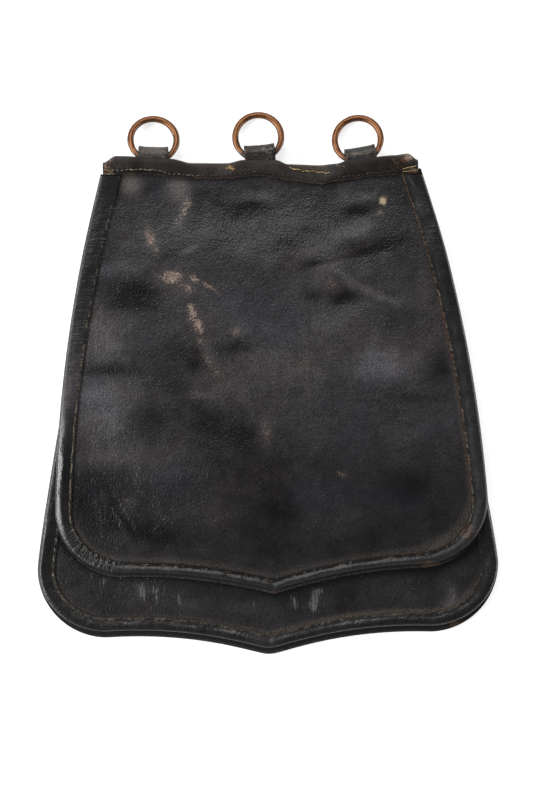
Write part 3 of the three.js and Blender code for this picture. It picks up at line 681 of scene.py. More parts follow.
def leather_scratches(graph, tone, fine):
    """Fine pale scratches that run along Y, and bare spots."""
    lines = graph.noise(WAVE.scratch, detail=3.0, roughness=0.7, vector=graph.stretched(SCRATCH_STRETCH))
    scratched = graph.spread(graph.times(lines, graph.mark("scratch")), SPAN.scratched)
    scratched = graph.times(scratched, graph.spread(fine, *SPAN.broken))
    tone = graph.mix(scratched, tone, PALE_SCRATCH)
    edge = graph.spread(graph.noise(WAVE.bare), *SPAN.bare_edge)
    bare = graph.spread(graph.plus(graph.mark("bare"), edge), SPAN.bare)
    return graph.mix(bare, tone, graph.mix(bare, BROWN, BONE))


def leather_relief(graph, grain):
    """Pores, small creases and fine ridges."""
    pits = graph.times(graph.noise(WAVE.pits, detail=3.0, roughness=0.65), PITS)
    normal = graph.bump(graph.plus(graph.cells(WAVE.pores), pits), grain, RELIEF.pores)
    creases = graph.noise(WAVE.creases, detail=5.0, roughness=0.6)
    normal = graph.bump(creases, grain * CREASE_SHARE, RELIEF.creases, normal)
    ridge = graph.minus(graph.noise(WAVE.ridges, detail=4.0, roughness=0.6), 0.5)
    ridge = graph.spread(graph.math("ABSOLUTE", ridge), SPAN.ridged)
    return graph.bump(ridge, grain * RIDGE_SHARE, RELIEF.ridges, normal)


def leather_wrinkles(graph, tone, normal, wrinkle):
    """Wrinkles across a binding where it is creased. Gives the colour and the relief."""
    along = graph.math("DIVIDE", graph.mark("along"), WAVE.wrinkle_along)
    inward = graph.math("DIVIDE", graph.mark("inward"), WAVE.wrinkle_inward)
    place = graph.add("ShaderNodeCombineXYZ", None, {"X": along, "Y": inward}).outputs["Vector"]
    inputs = {"Vector": place, "Scale": 1.0, "Detail": 2.0, "Distortion": 0.4}
    lines = graph.add("ShaderNodeTexNoise", None, inputs).outputs["Fac"]
    creased = graph.mark("creased")
    normal = graph.bump(graph.times(lines, creased), wrinkle, RELIEF.wrinkles, normal)
    furrowed = graph.mix(1.0, tone, graph.spread_grey(lines, *SPAN.furrowed), "MULTIPLY")
    return graph.mix(creased, tone, furrowed), normal


def leather(name, dark, haze, rough, grain, shine, speckle=1.0, wrinkle=0.0):
    """Old black leather: mottled, hazed where it is rubbed, brown where it is worn through, and paler or
    darker where light or shade is painted into its hazing.
    """
    graph = Graph(name)
    middle = graph.noise(WAVE.middle, detail=5.0, roughness=0.65)
    fine = graph.noise(WAVE.fine, detail=2.0, roughness=0.6)
    tone, hazed = leather_ground(graph, dark, haze, speckle, middle, fine)
    tone, scuffed = leather_scuffs(graph, leather_stains(graph, tone, middle))
    tone = leather_scratches(graph, tone, fine)
    uneven = graph.spread(middle, SPAN.rough, (rough, rough + ROUGHER.middle))
    matt = graph.plus(graph.times(hazed, ROUGHER.haze), uneven)
    matt = graph.plus(matt, graph.times(scuffed, ROUGHER.scuff), True)
    matt = graph.minus(matt, graph.times(graph.mark("polish"), ROUGHER.polish), True)
    normal = leather_relief(graph, grain)
    if wrinkle > 0:
        tone, normal = leather_wrinkles(graph, tone, normal, wrinkle)
    inputs = {"Base Color": tone, "Roughness": matt, "Normal": normal, "Specular IOR Level": shine}
    return graph.finish(inputs)


def thread(name, dark, pale):
    """Waxed linen thread, from dark to rubbed pale, with a fine twist."""
    graph = Graph(name)
    tone = graph.mix(graph.mark("tone"), dark, pale)
    twist = graph.noise(WAVE.twist, detail=3.0, roughness=0.7)
    tone = graph.mix(1.0, tone, graph.spread_grey(twist, *SPAN.twisted), "MULTIPLY")
    normal = graph.bump(twist, TWIST_SHARE, RELIEF.twist)
    return graph.finish({"Base Color": tone, "Roughness": 0.6, "Normal": normal, "Specular IOR Level": 0.2})


def copper(name, dull, bright, dark):
    """Copper wire, bright where it is rubbed, dark where it sits in its loop, and darker along the wire's
    edges where shade is painted.
    """
    graph = Graph(name)
    blotch = graph.noise(WAVE.blotch, detail=5.0, roughness=0.65)
    tone = graph.mix(graph.spread(blotch, SPAN.blotched), dull, bright)
    uneven = graph.spread(graph.noise(WAVE.tarnish, detail=4.0), *SPAN.uneven_tarnish)
    shade = graph.spread(graph.plus(graph.mark("tarnish"), uneven), SPAN.tarnished)
    pits = graph.noise(WAVE.wire, detail=4.0, roughness=0.7)
    return graph.finish({
        "Base Color": graph.mix(shade, tone, dark),
        "Metallic": graph.spread(shade, *SPAN.metallic),
        "Roughness": graph.spread(blotch, *SPAN.dull),
        "Normal": graph.bump(pits, WIRE_SHARE, RELIEF.wire),
    })


FLAP_LEATHER = leather(
    "flap_leather", rgb(0.0031, 0.0028, 0.0033), rgb(0.081, 0.077, 0.081),
    rough=0.27, grain=0.64, shine=0.35, speckle=0.5)
POUCH_LEATHER = leather(
    "pouch_leather", rgb(0.0041, 0.0038, 0.0044), rgb(0.262, 0.25, 0.266),
    rough=0.28, grain=0.68, shine=0.38, speckle=0.55)
EDGE_LEATHER = leather(
    "edge_leather", rgb(0.0033, 0.003, 0.0035), rgb(0.041, 0.037, 0.041),
    rough=0.38, grain=0.28, shine=0.6, speckle=0.5, wrinkle=0.7)
BAND_LEATHER = leather(
    "band_leather", rgb(0.0045, 0.0036, 0.003), rgb(0.04, 0.032, 0.027),
    rough=0.44, grain=0.3, shine=0.3, speckle=0.35)
LOOP_LEATHER = leather(
    "loop_leather", rgb(0.004, 0.0038, 0.0033), rgb(0.1, 0.09, 0.08),
    rough=0.34, grain=0.4, shine=0.4, speckle=0.35)
BACK_LEATHER = leather(
    "back_leather", rgb(0.005, 0.0047, 0.0044), rgb(0.045, 0.041, 0.036),
    rough=0.46, grain=0.5, shine=0.4)
SEAM_THREAD = thread("seam_thread", rgb(0.006, 0.0053, 0.0046), rgb(0.24, 0.2, 0.15))
GOLD_THREAD = thread("gold_thread", rgb(0.22, 0.13, 0.055), rgb(0.6, 0.44, 0.22))
RING_COPPER = copper(
    "ring_copper", rgb(0.12, 0.05, 0.024), rgb(0.27, 0.125, 0.06), rgb(0.045, 0.04, 0.036))

LEATHER_MARKS = ("haze", "cool", "red", "dust", "wear", "scuff", "bare", "scratch", "polish")


def leather_marks(shape, sheets, given):
    """Every mark that the leather reads, once for each sheet of a piece, and 0 where none is given."""
    marks = {label: 0.0 for label in LEATHER_MARKS} | given
    return {label: np.tile(np.broadcast_to(value, shape).ravel(), sheets) for label, value in marks.items()}


# Flap panel: steps across and down, small waves and ripples, and where this relief fades out
PANEL_STEPS, DEEPEST_FOLD, THINNEST = (230, 208), 1.4, 0.5
WAVE_HEIGHT, WAVE_LENGTH = 0.5, 31.0
RIPPLE_HEIGHT, RIPPLE_LENGTH, RIPPLE_SQUASH = 0.1, 9.0, 1.5
RELIEF_INSIDE, RELIEF_TOP = (0.5, 9.0), (127.0, 134.0)
EDGE_STEPS, FAR = 320, 1e6

# Its looks: weights, with spans down or across the picture in pixels, or in from the seam in millimetres
FLAP_LOOK = SimpleNamespace(
    mottle=0.05, mottle_length=22.0, right=(300.0, 440.0), low=(500.0, 545.0),
    dust_right=0.66, dust_low=0.62, dust_corner=0.35, dust_down=(260.0, 420.0),
    dust_from=0.2, dust_to=3.4, dust_far=11.0, widened_low=0.3,
    wear=0.46, wear_inside=(0.4, 2.6), wear_down=(230.0, 330.0),
)


def panel_relief(x, y):
    """Small waves and folds of the flap's panel, on top of its main dents."""
    px, py = picture_place(x, y, FLAP_Z + HOLLOW)
    waves = WAVE_HEIGHT * layered(x, y, WAVE_LENGTH, SEEDS.waves)
    ripples = RIPPLE_HEIGHT * layered(x, y * RIPPLE_SQUASH, RIPPLE_LENGTH, SEEDS.ripples)
    return waves + ripples + summed(FOLDS, px, py)


def edge_distance(size, x, y, past_lip=1.0):
    """How far each place of a panel lies from an outline, less the width of its sewn binding."""
    share = np.linspace(0.0, 1.0, EDGE_STEPS + 1)
    edge_x, edge_y = outline(size, size.side_rim, size.bottom_rim, TOP_Y, share)
    lip = lip_inward(size, share) * past_lip
    near = np.full(np.shape(x), FAR)
    for place_x, place_y, inward in zip(edge_x, edge_y, lip):
        near = np.minimum(near, np.hypot(np.abs(x) - place_x, y - place_y) - inward)
    return near


def flap_panel_marks(x, y, z, inside):
    """Marks of the flap's panel: hazing with painted sheen and shade, scuffs and stains, and dust and wear
    along its seam.
    """
    px, py = picture_place(x, y, z)
    look = FLAP_LOOK
    # Haze plus painted sheen and painted shade of the dents and folds
    haze = np.interp(py, *zip(*HAZE_DOWN)) + SHADE_GAIN * summed(HAZE_SHEEN_AND_SHADE, px, py)
    haze = haze + look.mottle * layered(x, y, look.mottle_length, SEEDS.haze)
    right, low = smooth(px, *look.right), smooth(py, *look.low)
    low_right = marked(LOW_RIGHT_DUST, px, py)
    dusty = lerp(look.dust_right * right, look.dust_low, low) + look.dust_corner * low_right
    dust_to = lerp(look.dust_to, look.dust_far, np.maximum(low_right, look.widened_low * low))
    dusty = dusty * (1 - smooth(inside, look.dust_from, dust_to))
    return {
        "haze": clamp((haze + np.hypot(haze, SOFT_HAZE)) / 2),
        "scuff": marked(SCUFFS, px, py),
        "bare": marked(BARE_SPOTS, px, py),
        "red": marked(RED_PATCHES, px, py),
        "cool": marked(BLUE_PATCHES, px, py),
        "dust": dusty * smooth(py, *look.dust_down) + marked(OLIVE_PATCHES, px, py),
        "wear": look.wear * right * (1 - smooth(inside, *look.wear_inside)) * smooth(py, *look.wear_down),
    }


def flap_panel():
    own_x, own_y = panel_grid(FLAP, 1, BINDING_FOLD, PLY_TOP, *PANEL_STEPS)
    x, y = leaned(FLAP, own_x, own_y)
    inside = edge_distance(FLAP, own_x, own_y)
    fade = smooth(inside, *RELIEF_INSIDE) * (1 - smooth(y, *RELIEF_TOP))
    base = flap_base(x, y) + FLAP_PANEL_Z + puff(own_x, own_y)
    top = base + PANEL + np.maximum(panel_relief(x, y) * fade, -DEEPEST_FOLD)
    upper, lower = as_points(x, y, top), as_points(x, y, np.minimum(base, top - THINNEST))
    marks = leather_marks(top.shape, 2, flap_panel_marks(x, y, top, inside))
    mesh = make_mesh("flap_panel_skin", *closed_sheet(upper, lower), marks)
    place_piece("flap_panel_skin", mesh, FLAP_LEATHER, "black_leather", "bag", "flap_panel")


# Pouch front and the two hidden plies: steps across and down, small waves of the front, and looks
LINING_STEPS, POUCH_STEPS, BACK_STEPS = (120, 120), (210, 180), (140, 140)
POUCH_WAVE_HEIGHT, POUCH_WAVE_LENGTH, DEEPEST_POUCH_WAVE = 0.3, 30.0, 0.2
POUCH_WAVE_INSIDE, CUT_EDGE_HAZE_AND_HIGHLIGHT, PLAIN_HAZE = (1.0, 14.0), 0.7, 0.04
POUCH_LOOK = SimpleNamespace(
    haze=0.04, mottle=0.02, mottle_length=18.0, clear_of_painted_shadow=(2.0, 8.0), scratched=0.7, most_scratched=1.2,
    dust=(0.35, 1.2), dust_across=(160.0, 340.0), dust_down=(560.0, 600.0), dust_inside=(0.0, 4.0), wear=0.36,
)


def plain_panel(node, size, rims, inset, top_y, steps, thickness, base, material, shading):
    """A ply of even thickness that stands for a node."""
    x, y = leaned(size, *panel_grid(size, rims, inset, top_y, *steps))
    low = base(x, y)
    upper, lower = as_points(x, y, low + thickness), as_points(x, y, low)
    marks = leather_marks(x.shape, 2, shading(x, y, low + thickness))
    mesh = make_mesh(f"{node}_skin", *closed_sheet(upper, lower), marks)
    place_piece(f"{node}_skin", mesh, material, "black_leather", "bag", node)


def pouch_front_base(x, y):
    waves = POUCH_WAVE_HEIGHT * layered(x, y, POUCH_WAVE_LENGTH, SEEDS.pouch_waves)
    waves = waves * smooth(edge_distance(POUCH, x, y), *POUCH_WAVE_INSIDE)
    return curl(x, y) + POUCH_FRONT_Z + hollow(x, y) + np.maximum(waves, -DEEPEST_POUCH_WAVE)


def pouch_front_marks(x, y, z):
    """Marks of the pouch front: hazing and scratches, left out near the flap's edge as a painted shadow of
    the flap, and dust along its seam.
    """
    px, py = picture_place(x, y, z)
    look = POUCH_LOOK
    near_seam = 1 - smooth(edge_distance(POUCH, x, y), *look.dust_inside)
    dusty = near_seam * smooth(py, *look.dust_down) * lerp(*look.dust, smooth(px, *look.dust_across))
    mottle = look.mottle * layered(x, y, look.mottle_length, SEEDS.pouch_haze)
    hazed = look.haze + mottle + summed(POUCH_HAZED, px, py)
    own_x = x - math.sin(math.radians(FLAP.lean)) * (TOP_Y - y)
    # Painted shadow under the flap's edge: no haze or scratches there, and glossier leather
    clear_of_painted_shadow = smooth(edge_distance(FLAP, own_x, y, 0.0), *look.clear_of_painted_shadow)
    scratched = clamp(look.scratched + summed(POUCH_SCRATCHES, px, py), 0.0, look.most_scratched)
    return {
        "haze": clamp(hazed * clear_of_painted_shadow),
        "polish": 1 - clear_of_painted_shadow,
        "scratch": scratched * clear_of_painted_shadow,
        "dust": dusty,
        "wear": look.wear * dusty,
    }


def rim_marks(x, y, z):
    """Marks of a ply that shows only by its cut edge: paler along that edge, as raw cut leather and as a
    painted highlight where it catches the light.
    """
    px, py = picture_place(x, y, z)
    edge = np.ones(x.shape, bool)
    edge[:-1, 1:-1] = False
    return {"wear": marked(RIM_WORN, px, py), "haze": np.where(edge, CUT_EDGE_HAZE_AND_HIGHLIGHT, PLAIN_HAZE)}


# Folded bindings: steps of their section, shape of the roll, and its lumps
BINDING_PITCH, LENGTH_STEPS, MIDDLE_INSET = 0.8, 4000, 5.0
REAR_STEPS, UNDER_STEPS, OVER_STEPS, FRONT_STEPS = 4, 6, 14, 16
SKIVED_STEPS, SKIVED = 6, 0.62
FLAT_AT, FLAT_CROWN, FULL_CROWN = 0.34, BINDING_CROWN - 0.25, BINDING_CROWN + 0.3
FULL_LEFT_FROM, FULL_LEFT_TO, BOTTOM_FROM, LUMPY_FROM = (0.2, 0.3), (0.38, 0.5), (0.58, 0.68), (0.55, 0.7)
BOX_POWER, BOX_ROUND, BEVEL, BEVEL_POWER, BEVEL_EDGE_POWER = 4, 0.4, 0.6, 1.5, 16
SHAPED_WITHIN, SHAPED_POWER = (0.02, 0.98), 0.8
LUMP_HEIGHT, LUMP_LENGTH, LUMP_SQUASH = 0.3, 12.0, 1.6
SMALL_LUMP_LENGTH, SMALL_LUMP_SQUASH = 6.0, 0.7
MITRE_DEPTH, MITRE_HALF, MITRE_LENGTH = 0.6, 1.3, 210.0

# Their looks: weights, with spans down or across the picture in pixels
LIP_FROM, LIP_TO, GROOVE_WIDTH, EDGE_MOTTLE, EDGE_MOTTLE_LENGTH = 2.6, 0.8, 1.2, 0.06, 9.0
FLAP_EDGE_LOOK = SimpleNamespace(
    low=(480.0, 560.0), high=(290.0, 380.0), left=(120.0, 260.0), right=(260.0, 420.0),
    gloss=0.1, matt_left=0.8, gloss_right=0.4, lower_gloss=(0.05, 1.1), gloss_down=(330.0, 470.0),
    dull_corner=0.4, groove_gloss=1.6, high_groove=0.7, haze=0.06, clear_high=0.03, painted_right_light=0.07,
    painted_groove_shade=0.12, dust=(0.1, 0.6), dust_left=0.5, dust_down=(200.0, 400.0), wear=0.6,
    creased=0.06, creased_left=0.3, smooth_down=(370.0, 440.0), creased_high=0.3, smooth_right=0.18,
    creased_corner=0.8, creased_low=0.14,
)
POUCH_EDGE_LOOK = SimpleNamespace(
    low=(560.0, 600.0), haze=0.05, gloss=(0.35, 0.6), gloss_across=(100.0, 240.0), creased=0.2,
    dust=(0.2, 0.8), brown=1.1, wear=0.24,
)


def half_shares(size, pitch):
    """Shares of the outline at even distances along the binding from the top to the tip, and its length."""
    fine = np.linspace(0.0, 1.0, LENGTH_STEPS + 1)
    x, y = outline(size, MIDDLE_INSET, MIDDLE_INSET, PLY_TOP if size is FLAP else MOUTH, fine)
    along = np.concatenate([[0.0], np.cumsum(np.hypot(np.diff(x), np.diff(y)))])
    count = int(round(along[-1] / pitch))
    return np.interp(np.linspace(0.0, along[-1], count + 1), along, fine), along[-1]


def lip_inward(size, share):
    """How far in from its own edge the binding's front lip lies."""
    places, widths = zip(*size.lips)
    return np.interp(share, places, widths)


def roll_shape(size, side, share):
    """How far in from the edge the roll is highest, how high, and how full: flat along most of the sides."""
    lower_left = (side < 0) * smooth(share, *FULL_LEFT_FROM) * (1 - smooth(share, *FULL_LEFT_TO))
    full = np.maximum(lower_left, size.full_bottom * smooth(share, *BOTTOM_FROM))
    place = lip_inward(size, share) * lerp(FLAT_AT, size.full_at, lower_left)
    return place, 2 * BINDING_FOLD + lerp(FLAT_CROWN, FULL_CROWN, full), full


def binding_top(size, side, share, along, inward, seed):
    """Height of the binding's upper surface above its base: one round roll that falls to the sewn lip."""
    lip = lip_inward(size, share)
    crown_at, crown, full = roll_shape(size, side, share)
    outer = clamp((crown_at - inward) / (crown_at - BINDING / 2))
    boxy = (1 - outer**BOX_POWER) ** BOX_ROUND
    bevelled = BEVEL * (1 - outer**BEVEL_POWER) + (1 - BEVEL) * np.sqrt(1 - outer**BEVEL_EDGE_POWER)
    rise = BINDING_FOLD + (crown - BINDING_FOLD) * lerp(boxy, bevelled, full)
    inner = clamp((inward - crown_at) / (lip - FLAT_LIP - crown_at))
    fall = (crown - 2 * BINDING_FOLD + LIP_SKIVE) * (1 - np.cos(math.pi * inner)) / 2
    shape = np.sin(math.pi * clamp(inward / lip, *SHAPED_WITHIN)) ** SHAPED_POWER
    lumps = LUMP_HEIGHT * layered(along, inward * LUMP_SQUASH, LUMP_LENGTH, seed + AFTER.lumps)
    small = layered(along, inward * SMALL_LUMP_SQUASH, SMALL_LUMP_LENGTH, seed + AFTER.small_lumps, 2)
    lumps = lumps + LUMP_HEIGHT * smooth(share, *LUMPY_FROM) * small
    mitre = -MITRE_DEPTH * np.exp(-(((1 - share) * MITRE_LENGTH / MITRE_HALF) ** 2))
    return rise - fall + (lumps + mitre) * shape


def binding_place(size, base, top, side, share, inward, up):
    x, y = outline(size, size.side_rim + inward, size.bottom_rim + inward, top, share)
    x, y = leaned(size, side * x, y)
    return as_points(x, y, base(x, y) + up)


def binding_path(size, pitch):
    """Side, share, distance and top height of each step: down the left side and up the right."""
    half, length = half_shares(size, pitch)
    share = np.concatenate([half, half[-2::-1]])
    side = np.where(np.arange(share.size) < half.size - 1, -1.0, 1.0)
    run = np.linspace(0, length, half.size)
    along = np.concatenate([run, length + run[1:]])
    flap_top = np.where(side < 0, BINDING_TOP_LEFT, BINDING_TOP_RIGHT)
    return side, share, along, flap_top if size is FLAP else np.full(share.shape, MOUTH)


def binding(node, size, base, seed, shading):
    """A strip folded round the edges of a panel: rear leaf, fold and front leaf that falls to its lip."""
    side, share, along, top = (values[:, None] for values in binding_path(size, BINDING_PITCH))
    lip = lip_inward(size, share)
    middle = BINDING_FOLD - BINDING / 2
    crown_at = roll_shape(size, side, share)[0]
    steps = share.shape[0]
    back = np.broadcast_to(np.linspace(REAR_LIP, BINDING_FOLD, REAR_STEPS + 1)[:-1], (steps, REAR_STEPS))
    under = np.radians(np.linspace(-90.0, 0.0, UNDER_STEPS + 1))[:-1]
    under_in = np.broadcast_to(BINDING_FOLD - middle * np.cos(under), (steps, UNDER_STEPS))
    under_up = np.broadcast_to(BINDING_FOLD + middle * np.sin(under), (steps, UNDER_STEPS))
    over = np.sin(np.radians(np.linspace(90.0, 0.0, OVER_STEPS + 1)))
    over_in = crown_at - over * (crown_at - BINDING / 2)
    front_in = lerp(crown_at, lip, np.linspace(0.0, 1.0, FRONT_STEPS + 1)[1:])
    upper_in = np.concatenate([over_in, front_in], axis=1)
    inward = np.concatenate([back, under_in, upper_in], axis=1)
    leaf = binding_top(size, side, share, along, upper_in, seed)
    leaf = BINDING_FOLD + (leaf - BINDING_FOLD) * (1 - BINDING / 2 / (leaf.max() - BINDING_FOLD))
    up = np.concatenate([np.full(back.shape, BINDING / 2), under_up, leaf], axis=1)
    run_in, run_up = np.gradient(inward, axis=1), np.gradient(up, axis=1)
    length = np.hypot(run_in, run_up)
    thick = np.full(inward.shape, BINDING)
    thick[:, -SKIVED_STEPS:] = np.linspace(BINDING, SKIVED, SKIVED_STEPS)
    out_in, out_up = -run_up / length * thick / 2, run_in / length * thick / 2
    outer = binding_place(size, base, top, side, share, inward + out_in, up + out_up)
    inner = binding_place(size, base, top, side, share, inward - out_in, up - out_up)
    marks = shading(outer[..., 0], outer[..., 1], outer[..., 2], inward, lip)
    marks.update(along=along, inward=inward)
    name = f"{node}_roll"
    mesh = make_mesh(name, *closed_sheet(outer, inner), leather_marks(inward.shape, 2, marks))
    place_piece(name, mesh, EDGE_LEATHER, "edge_leather", "bag", node)


def lip_nearness(inward, lip):
    return smooth(inward, lip - LIP_FROM, lip - LIP_TO)


def edge_mottle(x, y, seed):
    return EDGE_MOTTLE * layered(x, y, EDGE_MOTTLE_LENGTH, seed)


def flap_binding_marks(x, y, z, inward, lip):
    """Marks of the flap's binding: matt, glossy and wrinkled by areas, with painted light on its lower right
    and painted shade in the groove at its lip, dusty and brown at its lip.
    """
    px, py = picture_place(x, y, z)
    look = FLAP_EDGE_LOOK
    near_lip = lip_nearness(inward, lip)
    groove = smooth(inward, lip - FLAT_LIP - GROOVE_WIDTH, lip - FLAT_LIP)
    low, high = smooth(py, *look.low), 1 - smooth(py, *look.high)
    left, right = 1 - smooth(px, *look.left), smooth(px, *look.right)
    corner = marked(FLAP_EDGE_CREASED, px, py)
    upper_gloss = look.gloss - look.matt_left * left + look.gloss_right * right
    lower_gloss = lerp(*look.lower_gloss, left * (1 - low))
    gloss = lerp(upper_gloss, lower_gloss, smooth(py, *look.gloss_down))
    groove_gloss = look.groove_gloss * groove * lerp(look.high_groove, 1.0, low)
    # Painted light: the lower right of the border is paler, as lit from the right
    level = look.haze - look.clear_high * high * (left + right) + look.painted_right_light * right * (1 - high)
    level = level + edge_mottle(x, y, SEEDS.flap_edge) + marked(FLAP_EDGE_GREY, px, py)
    dusty = (right + look.dust_left * left) * smooth(py, *look.dust_down) * (1 - low)
    wrinkled = look.creased + look.creased_left * left * (1 - smooth(py, *look.smooth_down))
    creased = lerp(wrinkled, look.creased_high - look.smooth_right * right, high)
    return {
        # Painted shade in the seam groove
        "haze": clamp(level - look.painted_groove_shade * groove),
        "dust": near_lip * lerp(*look.dust, dusty),
        "wear": np.maximum(marked(FLAP_EDGE_BROWN, px, py), look.wear * near_lip * right * (1 - low)),
        "polish": np.maximum(gloss * (1 - look.dull_corner * corner), groove_gloss),
        "creased": clamp(creased + look.creased_corner * corner + look.creased_low * low),
    }


def pouch_binding_marks(x, y, z, inward, lip):
    """Marks of the pouch's binding: glossier to the right, with a painted highlight near its tip, dusty and
    brown at its lip.
    """
    px, py = picture_place(x, y, z)
    look = POUCH_EDGE_LOOK
    near_lip = lip_nearness(inward, lip)
    low = smooth(py, *look.low)
    brown = marked(POUCH_EDGE_BROWN, px, py)
    return {
        "haze": clamp(look.haze + edge_mottle(x, y, SEEDS.pouch_edge) + marked(POUCH_TIP_HIGHLIGHT, px, py)),
        "polish": lerp(*look.gloss, smooth(px, *look.gloss_across)),
        "creased": look.creased,
        "dust": near_lip * lerp(*look.dust, low),
        "wear": np.maximum(brown * near_lip * look.brown, look.wear * near_lip * low),
    }


# Stitches: small rods with round ends
ROD_SIDES, ROD_RINGS, ROD_FLATNESS = 6, 2, 0.8
UP = np.array([0.0, 0.0, 1.0])
SEAM_STITCH = SimpleNamespace(pitch=2.2, jitter=0.14, missing=0.04, slant=(16.0, 7.0), length=(0.5, 0.8),
                              radius=(0.42, 0.6), tone_spread=0.2)
BAND_STITCH = SimpleNamespace(pitch=3.1, inset=2.4, jitter=0.42, sunk=0.05, length=(0.9, 2.7), radius=0.36,
                              tone_range=(0.5, 1.2), tone=0.2, paler_left=0.6, paler_to=(-60.0, -30.0))
BAND_SEAM_ENDS = (5.0, 4.0)
LOOSE = SimpleNamespace(uneven=0.3, flat=0.6, lift=0.25, tilt=0.06, length=(0.6, 1.2), radius=(0.7, 1.1),
                        tone_spread=0.25)

# How pale the thread of the seams is, with spans across or down the picture in pixels
FLAP_SEAM = SimpleNamespace(
    tone=0.03, right=0.16, right_across=(380.0, 430.0), right_down=(220.0, 330.0),
    left=0.3, left_across=(90.0, 160.0), left_down=(240.0, 420.0), plain_down=(530.0, 556.0),
)
POUCH_SEAM = SimpleNamespace(
    tone=(0.05, 0.12), across=(160.0, 340.0), left_end=0.2, left_across=(60.0, 120.0),
    right_end=0.1, right_across=(440.0, 470.0),
)


def capsule():
    """A rod along X: shares of its length and of its radius along, sideways and up, then faces."""
    turns = [math.pi / 2 * step / ROD_RINGS for step in range(1, ROD_RINGS + 1)]
    stations = [(-0.5, -math.cos(turn), math.sin(turn)) for turn in turns]
    stations += [(0.5, math.cos(turn), math.sin(turn)) for turn in reversed(turns)]
    points = [(-0.5, -1.0, 0.0, 0.0)]
    for end, bulge, radius in stations:
        for side in range(ROD_SIDES):
            turn = 2 * math.pi * side / ROD_SIDES
            points.append((end, bulge, radius * math.cos(turn), radius * math.sin(turn)))
    points.append((0.5, 1.0, 0.0, 0.0))
    faces = []
    last = 1 + (len(stations) - 1) * ROD_SIDES
    for side in range(ROD_SIDES):
        after = (side + 1) % ROD_SIDES
        faces.append((0, 1 + after, 1 + side))
        for ring_start in range(1, last, ROD_SIDES):
            a, b = ring_start + side, ring_start + after
            faces.append((a, b, b + ROD_SIDES, a + ROD_SIDES))
        faces.append((len(points) - 1, last + side, last + after))
    return np.array(points), faces


def stitch_row(name, middles, runs, length, radius, tone, material, slot):
    """Small rods at middles, along runs."""
    shape, faces = capsule()
    run = runs / np.linalg.norm(runs, axis=1, keepdims=True)
    up = UP - run * run[:, 2:]
    up = up / np.linalg.norm(up, axis=1, keepdims=True)
    aside = np.cross(up, run)
    length, radius = np.broadcast_to(length, len(run)), np.broadcast_to(radius, len(run))
    reach = shape[None, :, 0] * length[:, None] + shape[None, :, 1] * radius[:, None]
    wide = shape[None, :, 2] * radius[:, None]
    high = shape[None, :, 3] * radius[:, None] * ROD_FLATNESS
    points = middles[:, None, :] + reach[..., None] * run[:, None, :]
    points = points + wide[..., None] * aside[:, None, :] + high[..., None] * up[:, None, :]
    starts = range(0, len(run) * len(shape), len(shape))
    every = [tuple(corner + start for corner in face) for start in starts for face in faces]
    marks = {"tone": np.repeat(np.broadcast_to(tone, len(run)), len(shape))}
    mesh = make_mesh(name, points.reshape(-1, 3), every, marks, ROUND)
    place_piece(name, mesh, material, slot, "bag")


def steps_of(path):
    """Middles and runs of the steps of a path."""
    return (path[1:] + path[:-1]) / 2, path[1:] - path[:-1]


def seam(name, size, base, seed, tone):
    """Slanted stitches along a binding's lip."""
    side, share, along, top = binding_path(size, SEAM_STITCH.pitch)
    random = np.random.default_rng(seed)
    inward = lip_inward(size, share) - STITCH_INSET + random.normal(0.0, SEAM_STITCH.jitter, share.size)
    up = binding_top(size, side, share, along, inward, seed)
    middles, runs = steps_of(binding_place(size, base, top, side, share, inward, up))
    count = len(middles)
    keep = random.random(count) > SEAM_STITCH.missing
    turn = np.radians(random.normal(*SEAM_STITCH.slant, count))
    slanted = runs.copy()
    slanted[:, 0] = runs[:, 0] * np.cos(turn) - runs[:, 1] * np.sin(turn)
    slanted[:, 1] = runs[:, 0] * np.sin(turn) + runs[:, 1] * np.cos(turn)
    length = np.linalg.norm(runs, axis=1) * random.uniform(*SEAM_STITCH.length, count)
    radius = random.uniform(*SEAM_STITCH.radius, count)
    px, py = picture_place(*middles.T)
    shade = clamp(tone(px, py) + random.normal(0.0, SEAM_STITCH.tone_spread, count))
    stitch_row(name, middles[keep], slanted[keep], length[keep], radius[keep], shade[keep],
               SEAM_THREAD, "edge_leather")


def flap_seam_tone(px, py):
    look = FLAP_SEAM
    right = smooth(px, *look.right_across) * smooth(py, *look.right_down)
    left = (1 - smooth(px, *look.left_across)) * smooth(py, *look.left_down)
    return look.tone + (look.right * right + look.left * left) * (1 - smooth(py, *look.plain_down))


def pouch_seam_tone(px, _):
    look = POUCH_SEAM
    paler = look.left_end * (1 - smooth(px, *look.left_across))
    darker = look.right_end * smooth(px, *look.right_across)
    return lerp(*look.tone, smooth(px, *look.across)) + (paler - darker)


# Top band: steps of its section, lumps, slots for the rings, rounded cut edges and a painted highlight along
# its fold
BAND_STEPS, BAND_REAR_STEPS, BAND_FOLD_STEPS, BAND_FRONT_STEPS = 420, 6, 18, 19
BAND_LUMP_HEIGHT, BAND_LUMP_LENGTH, BAND_LUMP_SQUASH = 0.3, 13.0, 1.4
FOOT_LIFT, LIFTED_AT, FOOT_PRESS, PRESSED_FROM = 0.25, 0.4, 0.35, 0.6
CUT_HEIGHT, CUT_LENGTH, PAINTED_HIGHLIGHT_INSET, PAINTED_HIGHLIGHT_HALF = 0.15, 5.0, 2.4, 1.8
SLOT_FOOT, SLOT_FOLD = 2, BAND_REAR_STEPS + 13
CUT_ROUND, CUT_ANGLE, CUT_SEGMENTS = 0.35, 55.0, 2
BAND_HAZE = ((120, 0.13), (190, 0.36), (280, 0.46), (340, 0.24), (400, 0.02))
BAND_LOOK = SimpleNamespace(
    mottle=0.12, mottle_length=8.0, painted_top_highlight=0.3, gloss=0.4, gloss_across=(330.0, 390.0),
    foot=(0.16, 0.0), foot_wear=0.6,
)


